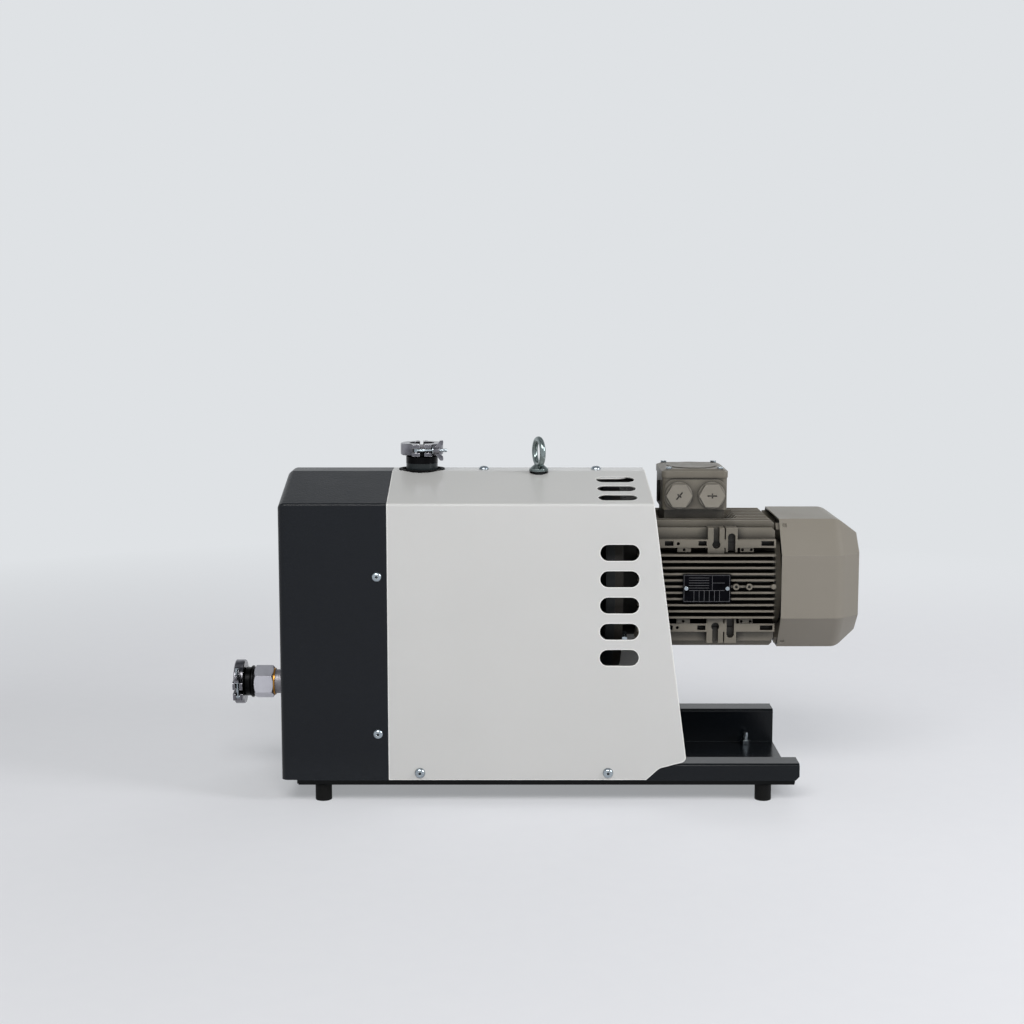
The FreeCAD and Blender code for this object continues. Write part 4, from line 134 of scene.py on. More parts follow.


# edge in each coat is the colour of a painted highlight along its corners
powderCoats = {
    # polyester with coarse grit, near black with a blue cast: a dull sparkle under light;
    # the grit is drawn about twice as coarse as real, so that it shows
    "darkPowderCoat": {
        "colour": "#090d13", "shade": "#0c1016", "dust": "#202427", "edge": "#2a3038", "gloss": 0.26,
        "roughness": 0.33, "peelMm": 2.3, "peelDepth": 0.55, "dustTop": 0.07, "edgeHighlightMm": 0.6,
    },
    # fine smooth polyester, light warm grey: one even tone with a painted highlight along each bend,
    # and painted shade inside, where the hood is closed in
    "lightPowderCoat": {
        "colour": "#c3c3c1", "shade": "#c0c0be", "dust": "#bcbab6", "edge": "#f6f6f2", "gloss": 0.5,
        "roughness": 0.24, "peelMm": 3.0, "peelDepth": 0.03, "dustTop": 0.05, "edgeHighlightMm": 2.8,
        "insideShade": {"colour": "#0e0e0e", "reachMm": 200, "closed": 0.30, "open": 0.56,
                   "none": 0.10, "full": 0.15},       # heights in metres
    },
    # smooth blue-black polyester: long soft reflections on the tray's lips
    "trayPowderCoat": {
        "colour": "#080c10", "shade": "#0a0e13", "dust": "#181b1e", "edge": "#2e3437", "gloss": 0.24,
        "roughness": 0.24, "peelMm": 2.2, "peelDepth": 0.05, "dustTop": 0.04, "edgeHighlightMm": 0.8,
    },
    # matt black polyester, painted a little darker than the tray as painted shade: the rails stay a dark line
    # under the tray
    "railPowderCoat": {
        "colour": "#050708", "shade": "#070909", "dust": "#101112", "edge": "#15181a", "gloss": 0.15,
        "roughness": 0.40, "peelMm": 2.2, "peelDepth": 0.05, "dustTop": 0.04, "edgeHighlightMm": 0.8,
    },
    # stoved enamel on pressed sheet, warm stone grey: satin, smoother than the castings beside it
    "motorSheet": {
        "colour": "#807b72", "shade": "#7c776d", "dust": "#6f6b62", "edge": "#9c978c", "gloss": 0.20,
        "roughness": 0.36, "peelMm": 2.4, "peelDepth": 0.04, "dustTop": 0.02, "edgeHighlightMm": 0.8,
    },
}

sheetPaint = {
    "index": 1.5,             # refraction of the resin
    "cloudMm": 140,           # slow drift of the tone over a panel
    "cloudRange": (0.2, 0.8),
    "dustShare": 0.8,         # dust at the very foot, none at dustTop, which is in metres
    "fleckMm": 6,
    "edgeHighlightShare": 0.9,
    "handledMm": 60,          # patches that hands and cloths leave a little smoother or duller
    "smoother": 0.02,
    "duller": 0.03,
    "peelStrength": 0.7,
    "roundMm": 0.7,
    "insideShadeSamples": 8,
}


def dustFoot(tree, place, base, height, coat):
    # a breath of dust in flecks, low down on the panel
    low = addNode(tree, "ShaderNodeMapRange", {"Value": height, "From Max": coat["dustTop"],
                                               "To Min": sheetPaint["dustShare"], "To Max": 0})
    flecks = addNode(tree, "ShaderNodeTexNoise", spots(place, sheetPaint["fleckMm"], Detail=6))
    dusty = addNode(tree, "ShaderNodeMath", {0: low.outputs[0], 1: flecks.outputs["Fac"]},
                    operation="MULTIPLY")
    return layOver(tree, dusty.outputs[0], base, coat["dust"], wholeRange)


def paintInsideShade(tree, base, height, insideShade):
    # painted shade on the inside of the closed hood, and not on the strip at its foot that only the floor
    # shades
    exposure = addNode(tree, "ShaderNodeAmbientOcclusion", {"Distance": insideShade["reachMm"] / 1000},
                       samples=sheetPaint["insideShadeSamples"])
    shut = addNode(tree, "ShaderNodeMapRange", {"Value": exposure.outputs["AO"], "From Min": insideShade["closed"],
                                                "From Max": insideShade["open"], "To Min": 1, "To Max": 0})
    raised = addNode(tree, "ShaderNodeMapRange", {"Value": height, "From Min": insideShade["none"],
                                                  "From Max": insideShade["full"]})
    shadedInside = addNode(tree, "ShaderNodeMath", {0: shut.outputs[0], 1: raised.outputs[0]}, operation="MULTIPLY")
    return layOver(tree, shadedInside.outputs[0], base, insideShade["colour"], wholeRange)


def powderCoat(name, coat):
    # baked powder on steel sheet: even colour, orange peel or fine grit, a painted highlight on the bends
    material, tree, shader, place = startMaterial(name, {"IOR": sheetPaint["index"],
                                                         "Specular IOR Level": coat["gloss"]})
    clouds = addNode(tree, "ShaderNodeTexNoise", spots(place, sheetPaint["cloudMm"], Detail=1))
    base = layOver(tree, clouds.outputs["Fac"], coat["colour"], coat["shade"], sheetPaint["cloudRange"])
    height = addNode(tree, "ShaderNodeSeparateXYZ", {0: place}).outputs["Z"]
    base = dustFoot(tree, place, base, height, coat)
    base = paintEdgeHighlight(tree, base, coat["edge"], coat["edgeHighlightMm"], sheetPaint["edgeHighlightShare"])
    if "insideShade" in coat:
        base = paintInsideShade(tree, base, height, coat["insideShade"])
    tree.links.new(base, shader.inputs["Base Color"])
    handled = addNode(tree, "ShaderNodeTexNoise", spots(place, sheetPaint["handledMm"], Detail=2))
    setShine(tree, shader, handled.outputs["Fac"], coat["roughness"] - sheetPaint["smoother"],
             coat["roughness"] + sheetPaint["duller"])
    peel = addNode(tree, "ShaderNodeTexNoise", spots(place, coat["peelMm"], Detail=2))
    addRelief(tree, shader, peel.outputs["Fac"], coat["peelDepth"], sheetPaint["peelStrength"],
              sheetPaint["roundMm"])
    return material


# painted shade lies within reachMm of an inner corner: all of its share where closed in, and none where open
# edge in each enamel is the colour of a painted highlight along its corners
enamels = {
    # stone-grey satin enamel on die-cast aluminium: painted highlights on the fins' edges and painted shade
    # in the grooves between them
    "motorCasting": {
        "colour": "#6e695f", "shade": "#676258", "edge": "#968f82", "gloss": 0.38, "roughness": 0.38,
        "grainMm": 2.2, "grainDepth": 0.06,
        "cornerShade": {"colour": "#14120f", "reachMm": 14, "share": 0.95, "closed": 0.40, "open": 0.97},
    },
    # the same enamel on the flange inside the hood, painted darker as painted shade and with painted shade
    # far into its corners: dull and soon lost in shade
    "shadedFlangeCasting": {
        "colour": "#4c4841", "shade": "#443f39", "edge": "#565149", "gloss": 0.25, "roughness": 0.5,
        "grainMm": 2.2, "grainDepth": 0.06,
        "cornerShade": {"colour": "#0b0a09", "reachMm": 150, "share": 0.95, "closed": 0.35, "open": 0.92},
    },
    # charcoal enamel on sand-cast iron: the sand's grain shows through as a rough, dull skin, with painted
    # shade far into its corners
    "pumpCasting": {
        "colour": "#24282b", "shade": "#1e2224", "edge": "#44484a", "gloss": 0.35, "roughness": 0.55,
        "grainMm": 1.5, "grainDepth": 0.25,
        "cornerShade": {"colour": "#070808", "reachMm": 90, "share": 0.9, "closed": 0.3, "open": 0.9},
    },
    # near-black enamel on steel pipe: glossier than the castings, so its bends catch the lamps
    "pipeEnamel": {
        "colour": "#10181a", "shade": "#141d1f", "edge": "#394345", "gloss": 0.45, "roughness": 0.30,
        "grainMm": 2.5, "grainDepth": 0.05,
        "cornerShade": {"colour": "#0a0e0f", "reachMm": 6, "share": 0.8, "closed": 0.25, "open": 0.85},
    },
}

castPaint = {
    "index": 1.5,             # refraction of the resin
    "cloudMm": 40,            # drift of the tone where the coat is thicker
    "edgeHighlightMm": 0.8,
    "edgeHighlightShare": 0.7,
    "patchMm": 12,            # smoother and duller patches of the cast skin
    "smoother": 0.06,
    "duller": 0.09,
    "grainStrength": 0.7,
    "roundMm": 0.8,
}


def enamelledCasting(name, coat):
    # enamel on a casting: the metal's grain shows, with a painted highlight on its edges and painted shade in
    # its grooves
    material, tree, shader, place = startMaterial(name, {"IOR": castPaint["index"],
                                                         "Specular IOR Level": coat["gloss"]})
    clouds = addNode(tree, "ShaderNodeTexNoise", spots(place, castPaint["cloudMm"], Detail=5))
    base = layOver(tree, clouds.outputs["Fac"], coat["colour"], coat["shade"])
    base = paintEdgeHighlight(tree, base, coat["edge"], castPaint["edgeHighlightMm"], castPaint["edgeHighlightShare"])
    tree.links.new(paintCornerShade(tree, base, coat["cornerShade"]), shader.inputs["Base Color"])
    patches = addNode(tree, "ShaderNodeTexNoise", spots(place, castPaint["patchMm"], Detail=4))
    setShine(tree, shader, patches.outputs["Fac"], coat["roughness"] - castPaint["smoother"],
             coat["roughness"] + castPaint["duller"])
    grain = addNode(tree, "ShaderNodeTexNoise", spots(place, coat["grainMm"], Detail=4))
    addRelief(tree, shader, grain.outputs["Fac"], coat["grainDepth"], castPaint["grainStrength"],
              castPaint["roundMm"])
    return material


turned = (1.0, 0.06, 0.06)    # rings about X, as a lathe leaves them

# all marks below are drawn 0.6 mm wide or more, several times as coarse as real, so that they show;
# stretch draws them out along the axes whose numbers are small
# edge in a metal is the colour of a painted highlight along its corners
metals = {
    # blue-white zinc on pressed steel: bright domes with a cold cast, a painted highlight on their edges and
    # sockets blackened with painted shade
    "brightZinc": {
        "colour": "#b4bec4", "tint": "#8f979f", "roughness": 0.20, "markMm": 0.9, "markDepth": 0.01,
        "edge": "#e2e8ea", "cornerShade": {"colour": "#0e1113", "reachMm": 4},
    },
    # zinc on a drop forging: greener and patchier than on a screw, with a painted highlight on its rims and
    # painted shade in its hollows
    "forgedZinc": {
        "colour": "#939e9d", "tint": "#707a79", "roughness": 0.18, "markMm": 3.0, "markDepth": 0.04,
        "edge": "#e0e8e6", "cornerShade": {"colour": "#161b1a", "reachMm": 12},
    },
    # grey iron, milled and turned: dull dark grey with coarse cutter marks
    "turnedIron": {
        "colour": "#6e6e6e", "tint": "#5c5a57", "roughness": 0.42, "markMm": 0.8, "markDepth": 0.05,
    },
    # ground steel: fine rings that draw each highlight out along the shaft
    "groundSteel": {
        "colour": "#b6b7b8", "tint": "#9d9e9f", "roughness": 0.28, "markMm": 0.8, "markDepth": 0.02,
        "stretch": turned,
    },
    # nickel plate gone matt: an even grey with no sharp reflection
    "mattNickel": {
        "colour": "#98969a", "tint": "#89878b", "roughness": 0.50, "markMm": 1.2, "markDepth": 0.02,
        "stretch": turned,
    },
    # the same plate on the hexagon, new and pale: each flat has its own broad tone
    "satinNickel": {
        "colour": "#d9d8df", "tint": "#cfced5", "roughness": 0.45, "markMm": 1.2, "markDepth": 0.02,
        "stretch": turned,
    },
    # tumbled die-cast aluminium: a painted highlight on its edges round pockets darkened with painted shade
    "castAluminium": {
        "colour": "#8a898f", "tint": "#59585e", "roughness": 0.17, "markMm": 6.0, "markDepth": 0.05,
        "edge": "#ececf0", "cornerShade": {"colour": "#15130f", "reachMm": 9},
    },
    # sand-cast aluminium left raw: pale, dull and grainy
    "sandCastAluminium": {
        "colour": "#a9a9a8", "tint": "#8b8a87", "roughness": 0.44, "markMm": 1.6, "markDepth": 0.12,
    },
    # turned and black-anodised aluminium: black with a grey sheen along the grooves
    "blackAnodised": {
        "colour": "#131314", "tint": "#1b1b1c", "roughness": 0.34, "markMm": 1.0, "markDepth": 0.02,
        "stretch": (0.1, 0.1, 1.0),
    },
    # drawn brass ring: one thin warm line between grey and black
    "brassRing": {
        "colour": "#c08a3e", "tint": "#a06f2d", "roughness": 0.30, "markMm": 1.0, "markDepth": 0.03,
    },
    # varnished copper wire wound in bundles: dark orange with fine strands
    "copperWinding": {
        "colour": "#8c4a24", "tint": "#5f2c14", "roughness": 0.34, "markMm": 1.0, "markDepth": 0.2,
        "stretch": (1.0, 0.1, 0.1),
    },
    # stamped electrical sheet, stacked: grey with close lines across the shaft
    "laminatedSteel": {
        "colour": "#55565a", "tint": "#43444a", "roughness": 0.45, "markMm": 0.6, "markDepth": 0.06,
        "stretch": (1.0, 0.05, 0.05),
    },
    # brushed and black-anodised aluminium sheet: a dark plate with a faint sheen
    "plateAnodised": {
        "colour": "#0c0c0e", "tint": "#131317", "roughness": 0.30, "markMm": 1.5, "markDepth": 0.01,
        "stretch": (1.0, 0.08, 0.08),
    },
}

bareSurface = {
    "tarnishMm": 14,          # spots of faint tarnish
    "edgeHighlightMm": 0.8,
    "edgeHighlightShare": 0.8,
    "cornerShade": {"share": 0.95, "closed": 0.30, "open": 0.95},
    "smoother": 0.06,
    "duller": 0.1,
    "markStrength": 0.5,
    "roundMm": 0.4,
}


def bareMetal(name, metal):
    # metal with no paint: the marks of its making, a faint tarnish, and where asked a painted highlight on
    # its edges and painted shade in its hollows
    material, tree, shader, place = startMaterial(name, {"Metallic": 1.0})
    tarnish = addNode(tree, "ShaderNodeTexNoise", spots(place, bareSurface["tarnishMm"], Detail=5))
    base = layOver(tree, tarnish.outputs["Fac"], metal["colour"], metal["tint"])
    if "edge" in metal:
        base = paintEdgeHighlight(tree, base, metal["edge"], bareSurface["edgeHighlightMm"], bareSurface["edgeHighlightShare"])
        base = paintCornerShade(tree, base, {**bareSurface["cornerShade"], **metal["cornerShade"]})
    tree.links.new(base, shader.inputs["Base Color"])
    if "stretch" in metal:
        place = addNode(tree, "ShaderNodeMapping", {"Vector": place, "Scale": metal["stretch"]}).outputs[0]
    marks = addNode(tree, "ShaderNodeTexNoise", spots(place, metal["markMm"], Detail=4))
    setShine(tree, shader, marks.outputs["Fac"], metal["roughness"] - bareSurface["smoother"],
             metal["roughness"] + bareSurface["duller"])
    addRelief(tree, shader, marks.outputs["Fac"], metal["markDepth"], bareSurface["markStrength"],
              bareSurface["roundMm"])
    return material


plastics = {
    # glass-filled nylon of the fans: near black, dry and finely pitted
    "fanPolymer": {
        "colour": "#161719", "shade": "#1d1e21", "grainMm": 0.8, "roughness": 0.52,
    },
    # nylon of the hexagon plugs in the motor's own grey: a little slicker than the enamel round it
    "plugPolymer": {
        "colour": "#827d73", "shade": "#7a756b", "grainMm": 0.7, "roughness": 0.40,
    },
    # phenolic terminal board: deep brown with a hard shine
    "boardPolymer": {
        "colour": "#3a2418", "shade": "#2d1b12", "grainMm": 0.8, "roughness": 0.40,
    },
    # turned acetal of the valve plate: cream, with a waxy shine
    "valvePolymer": {
        "colour": "#c6c2b2", "shade": "#b5b09e", "grainMm": 0.6, "roughness": 0.38,
    },
    # gasket paper pressed with a binder: a dry olive line between two castings
    "gasketPaper": {
        "colour": "#5a5542", "shade": "#4c4838", "grainMm": 1.4, "roughness": 0.85,
    },
    # baked printing ink on the rating plate: a flat grey line
    "printedLine": {
        "colour": "#656568", "shade": "#5a5a5d", "grainMm": 1.0, "roughness": 0.5,
    },
}

mouldSurface = {
    "index": 1.49,            # refraction of the polymer
    "cloudMm": 25,            # drift of the tone
    "cornerShade": {"colour": "#050505", "reachMm": 4, "share": 1.0, "closed": 0.25, "open": 0.85},
    "smoother": 0.05,
    "duller": 0.07,
    "grainDepth": 0.05,
    "grainStrength": 0.4,
    "roundMm": 0.4,
}


def mouldedPlastic(name, plastic):
    # moulded or pressed polymer with the mould's spark grain, drawn a few times as coarse as real, and
    # painted shade in its grooves
    material, tree, shader, place = startMaterial(name, {"IOR": mouldSurface["index"]})
    clouds = addNode(tree, "ShaderNodeTexNoise", spots(place, mouldSurface["cloudMm"], Detail=3))
    base = layOver(tree, clouds.outputs["Fac"], plastic["colour"], plastic["shade"])
    # painted shade in the grooves and inner corners
    tree.links.new(paintCornerShade(tree, base, mouldSurface["cornerShade"]), shader.inputs["Base Color"])
    grain = addNode(tree, "ShaderNodeTexNoise", spots(place, plastic["grainMm"], Detail=2))
    setShine(tree, shader, grain.outputs["Fac"], plastic["roughness"] - mouldSurface["smoother"],
             plastic["roughness"] + mouldSurface["duller"])
    addRelief(tree, shader, grain.outputs["Fac"], mouldSurface["grainDepth"], mouldSurface["grainStrength"],
              mouldSurface["roundMm"])
    return material


rubberSetup = {
    "colour": "#060606", "bloom": "#0e0e0d", "index": 1.52, "gloss": 0.15, "bloomMm": 9, "smooth": 0.55,
    "dull": 0.75, "grainMm": 1.2, "grainDepth": 0.08, "strength": 0.5, "roundMm": 0.6,
}


def nitrileRubber(setup):
    # pressed nitrile: deep black and dull, with a faint grey bloom that takes the shine off
    material, tree, shader, place = startMaterial("nitrileRubber", {"IOR": setup["index"],
                                                                    "Specular IOR Level": setup["gloss"]})
    bloom = addNode(tree, "ShaderNodeTexNoise", spots(place, setup["bloomMm"], Detail=6))
    base = layOver(tree, bloom.outputs["Fac"], setup["colour"], setup["bloom"])
    tree.links.new(base, shader.inputs["Base Color"])
    setShine(tree, shader, bloom.outputs["Fac"], setup["smooth"], setup["dull"])
    grain = addNode(tree, "ShaderNodeTexNoise", spots(place, setup["grainMm"], Detail=2))
    addRelief(tree, shader, grain.outputs["Fac"], setup["grainDepth"], setup["strength"], setup["roundMm"])
    return material


zincSetup = {
    "dark": "#8d9193", "light": "#b4b7b6", "metallic": 0.9, "crystalMm": 9, "smooth": 0.32, "dull": 0.55,
    "stepDepth": 0.04, "strength": 0.3, "roundMm": 0.6,
}


def zincSheet(setup):
    # hot-dip galvanised steel: crystals of zinc, each with its own grey and its own shine
    material, tree, shader, place = startMaterial("galvanisedSheet", {"Metallic": setup["metallic"]})
    crystals = addNode(tree, "ShaderNodeTexVoronoi", spots(place, setup["crystalMm"]))
    grey = addNode(tree, "ShaderNodeSeparateColor", {0: crystals.outputs["Color"]}).outputs[0]
    base = layOver(tree, grey, setup["dark"], setup["light"], wholeRange)
    tree.links.new(base, shader.inputs["Base Color"])
    setShine(tree, shader, grey, setup["smooth"], setup["dull"], wholeRange)
    addRelief(tree, shader, grey, setup["stepDepth"], setup["strength"], setup["roundMm"])
    return material


glassSetup = {
    "colour": "#cfe0cf", "index": 1.52, "clear": 0.85, "rippleMm": 8, "smooth": 0.03, "dull": 0.08,
    "rippleDepth": 0.05, "strength": 0.2, "roundMm": 0.6,
}


def oilGlass(setup):
    # pressed glass disc of the oil window: clear, faintly green and a little wavy
    material, tree, shader, place = startMaterial("oilGlass", {"IOR": setup["index"],
                                                               "Transmission Weight": setup["clear"],
                                                               "Base Color": hexColour(setup["colour"])})
    ripples = addNode(tree, "ShaderNodeTexNoise", spots(place, setup["rippleMm"], Detail=2))
    setShine(tree, shader, ripples.outputs["Fac"], setup["smooth"], setup["dull"])
    addRelief(tree, shader, ripples.outputs["Fac"], setup["rippleDepth"], setup["strength"], setup["roundMm"])
    return material


finishes = {"nitrileRubber": nitrileRubber(rubberSetup), "galvanisedSheet": zincSheet(zincSetup),
            "oilGlass": oilGlass(glassSetup)}
for makeFinish, kinds in ((powderCoat, powderCoats), (enamelledCasting, enamels), (bareMetal, metals),
                          (mouldedPlastic, plastics)):
    for name, setup in kinds.items():
        finishes[name] = makeFinish(name, setup)

nodeFinish = {
    "darkPowderCoat": "end_hood",
    "lightPowderCoat": "main_hood",
    "trayPowderCoat": "base_tray",
    "railPowderCoat": "foot_rails",
    "galvanisedSheet": "hood_frame",
    "brightZinc": "tray_fasteners hood_screws casing_bolts motor_screws clamp_bolts oil_plugs",
    "forgedZinc": "lifting_eye",
    "nitrileRubber": "rubber_feet rubber_edgings coupling_spider shaft_seals",
    "pumpCasting": "pump_pedestal cylinder_cover pump_cylinder gearbox_housing gearbox_cover bell_housing",
    "turnedIron": "drive_claw idle_claw coupling_hubs bearing_caps",
    "gasketPaper": "gearbox_gasket",
    "groundSteel": "drive_shaft idle_shaft drive_gear idle_gear bearings motor_shaft",
    "oilGlass": "oil_sight_glass",
    "fanPolymer": "cooling_fan motor_fan",
    "sandCastAluminium": "silencer",
    "castAluminium": "clamp_halves inlet_wing_nut exhaust_wing_nut",
    "shadedFlangeCasting": "motor_flange",
    "motorCasting": "motor_housing rear_shield terminal_box terminal_lid",
    "motorSheet": "fan_cover",
    "laminatedSteel": "stator_core motor_rotor",
    "copperWinding": "stator_windings",
    "plateAnodised": "rating_plate",
    "plugPolymer": "gland_plugs",
    "boardPolymer": "terminal_board",
    "pipeEnamel": "inlet_pipe",
    "valvePolymer": "check_valve",
    "blackAnodised": "inlet_adapter exhaust_adapter",
    "mattNickel": "closing_caps exhaust_nipple",
    "satinNickel": "exhaust_socket",
    "brassRing": "sealing_ring",
}

bareNodes = set(nodes)
for finish, names in nodeFinish.items():
    for name in names.split():
        nodes[name].data.materials.clear()
        nodes[name].data.materials.append(finishes[finish])
        bareNodes.discard(name)
print("finishes on", len(nodes), "nodes, none left:", sorted(bareNodes))


# fine pieces on top of the solids

def finishPiece(shape, name, body, finish, hides=(), smooth=False):
    # a bmesh becomes an object that rides on its body
    bmesh.ops.remove_doubles(shape, verts=shape.verts, dist=mergeDistance)
    bmesh.ops.recalc_face_normals(shape, faces=shape.faces)
    for face in shape.faces:
        face.smooth = smooth
    mesh = bpy.data.meshes.new(name)
    shape.to_mesh(mesh)
    shape.free()
    mesh.materials.append(finishes[finish])
    piece = bpy.data.objects.new(name, mesh)
    scene.collection.objects.link(piece)
    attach(piece, body)
    if hides:
        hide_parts(*hides)
    print(name, len(mesh.polygons), "faces on", body)


threadSetup = {
    # name: foot of the thread, its direction, shank radius, length and pitch, all in mm
    "trayBoltFront": ((297.8, -90.0, 25.6), (0, 0, 1), 4.0, 10.0, 1.25),
    "trayBoltRear": ((297.8, 90.0, 25.6), (0, 0, 1), 4.0, 10.0, 1.25),
    "inletSwingScrew": ((-141.3, -29.72, 460.4), (0.99813, 0.06105, 0), 2.2, 9.8, 0.9),
    "exhaustSwingScrew": ((-421.75, -36.84, 149.05), (0, -0.20791, 0.97815), 2.2, 9.8, 0.9),
}

threadForm = {
    "crest": 0.14,            # the ridge above the shank, as a share of the pitch
    "root": 0.3,              # and its foot inside the shank
    "steps": 12,              # in a turn
}


def wrapThread(form, foot, direction, radius, length, pitch):
    # a ridge of triangular section wound round a screw's shank
    shape = bmesh.new()
    crest = radius + form["crest"] * pitch
    root = radius - form["root"] * pitch
    section = ((root, 0, 0), (crest, 0, 0.5 * pitch), (root, 0, pitch))
    shape.faces.new([shape.verts.new(Vector(corner) / 1000) for corner in section])
    turns = (length - pitch) / pitch
    bmesh.ops.spin(shape, geom=shape.verts[:] + shape.edges[:] + shape.faces[:], cent=(0, 0, 0),
                   axis=(0, 0, 1), dvec=(0, 0, pitch / form["steps"] / 1000), angle=2 * math.pi * turns,
                   steps=round(turns * form["steps"]))
    turn = Vector(direction).to_track_quat("Z", "Y").to_matrix().to_4x4()
    place = Matrix.Translation(Vector(foot) / 1000) @ turn
    bmesh.ops.transform(shape, matrix=place, verts=shape.verts)
    return shape


for name, measures in threadSetup.items():
    finishPiece(wrapThread(threadForm, *measures), name + "Thread", "casing", "brightZinc")


plateSetup = {
    "margin": 1.6,            # mm from the plate's edge to its border line
    "line": 0.45,             # printed lines are drawn a little bolder than real, so that they show
    "proud": 0.06,            # thickness of the print
    "rivetRoom": 6.5,         # bare strip for the rivets at each end
    "textRows": 6,            # bare ruled rows at the upper left
    "rowsEnd": 0.55,          # share of the plate's width that the rows reach
    "fieldStart": 0.62,       # and where the field beside them starts
    "columns": 7,             # bare columns along the foot
    "split": 0.42,            # height of the columns as a share of the plate
}


def rulePlate(setup):
    # bare ruled form of a rating plate: border, rows, columns and a field, with nothing written in them
    low, high = (Vector(corner) * 1000 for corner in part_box("rating_plate"))
    left, right = low.x + setup["margin"], high.x - setup["margin"]
    foot, top = low.z + setup["margin"], high.z - setup["margin"]
    middle = foot + (top - foot) * setup["split"]
    start, end = left + setup["rivetRoom"], right - setup["rivetRoom"]
    rowsEnd = left + setup["rowsEnd"] * (right - left)
    fieldStart = left + setup["fieldStart"] * (right - left)
    fieldMiddle = (middle + top) / 2
    strips = [(left, right, foot, foot), (left, right, top, top), (left, left, foot, top),
              (right, right, foot, top), (start, end, middle, middle)]
    for row in range(1, setup["textRows"]):
        z = middle + (top - middle) * row / setup["textRows"]
        strips.append((start, rowsEnd, z, z))
    for column in range(1, setup["columns"]):
        x = start + (end - start) * column / setup["columns"]
        strips.append((x, x, foot, middle))
    strips.append((fieldStart, end, fieldMiddle, fieldMiddle))
    strips.append((fieldStart, fieldStart, middle, top))
    shape = bmesh.new()
    for x0, x1, z0, z1 in strips:
        size = (max(x1 - x0, setup["line"]), setup["proud"], max(z1 - z0, setup["line"]))
        centre = ((x0 + x1) / 2, low.y - setup["proud"] / 2, (z0 + z1) / 2)
        place = Matrix.Translation(Vector(centre) / 1000) @ Matrix.Diagonal((*(s / 1000 for s in size), 1))
        bmesh.ops.create_cube(shape, size=1, matrix=place)
    return shape


finishPiece(rulePlate(plateSetup), "plateRules", "casing", "printedLine")


coilSetup = {
    "heads": 24,              # coil heads round each end of the core
    "span": 48,               # degrees from one leg of a coil to the other
    "inner": 51.0,            # mm, where a coil leaves the core and where it comes back
    "outer": 59.5,
    "bundle": 3.1,            # radius of a bundle of enamelled wires
    "reach": 15.5,            # how far the heads stand out from the core
    "sides": 8,               # corners of a bundle's section
    "steps": 14,              # along its arch
}


def bendCoil(setup, outwards):
    # one coil head: a bundle of wires that leaves a slot, leans over its neighbours and comes back deeper in
    shape = bmesh.new()
    half = math.radians(setup["span"] / 2)
    bmesh.ops.create_circle(shape, cap_ends=True, segments=setup["sides"], radius=setup["bundle"] / 1000)
    middle = (setup["inner"] + setup["outer"]) / 2
    chord = middle * math.sin(half) / 1000
    bmesh.ops.rotate(shape, verts=shape.verts, cent=(0, 0, 0), matrix=Matrix.Rotation(math.pi / 2, 3, "Y"))
    bmesh.ops.translate(shape, verts=shape.verts, vec=(0, -chord, 0))
    bmesh.ops.spin(shape, geom=shape.verts[:] + shape.edges[:] + shape.faces[:], cent=(0, 0, 0),
                   axis=(0, 0, 1), angle=-math.pi * outwards, steps=setup["steps"])
    for vert in shape.verts:
        # flatten the arch to the room, lean it from one radius to the other and lay it round the ring
        x, y, z = vert.co
        turn = y / chord * half
        radius = (middle + (y / chord) * (setup["outer"] - setup["inner"]) / 2) / 1000 + z
        vert.co = (x * setup["reach"] / 1000 / chord, radius * math.sin(turn), radius * math.cos(turn))
    return shape


def windCoils(setup):
    # both rings of coil heads
    low, high = (Vector(corner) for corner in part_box("stator_core"))
    axisZ = (low.z + high.z) / 2
    rings = bmesh.new()
    for face, outwards in ((low.x, -1), (high.x, 1)):
        head = bendCoil(setup, outwards)
        single = bpy.data.meshes.new("coilHead")
        head.to_mesh(single)
        head.free()
        for k in range(setup["heads"]):
            before = set(rings.verts)
            rings.from_mesh(single)
            added = [vert for vert in rings.verts if vert not in before]
            turn = Matrix.Rotation(2 * math.pi * k / setup["heads"], 4, "X")
            bmesh.ops.transform(rings, matrix=Matrix.Translation((face, 0, axisZ)) @ turn, verts=added)
        bpy.data.meshes.remove(single)
    return rings


finishPiece(windCoils(coilSetup), "coilHeads", "casing", "copperWinding",
            hides=["stator_windings"], smooth=True)


hexSetup = {
    "flats": 40.0,            # mm
    "chamfer": 2.2,           # length of the turned cone at a corner
    "bore": 16.62,            # radius, a hair over the nipple's
    "segments": 72,
}


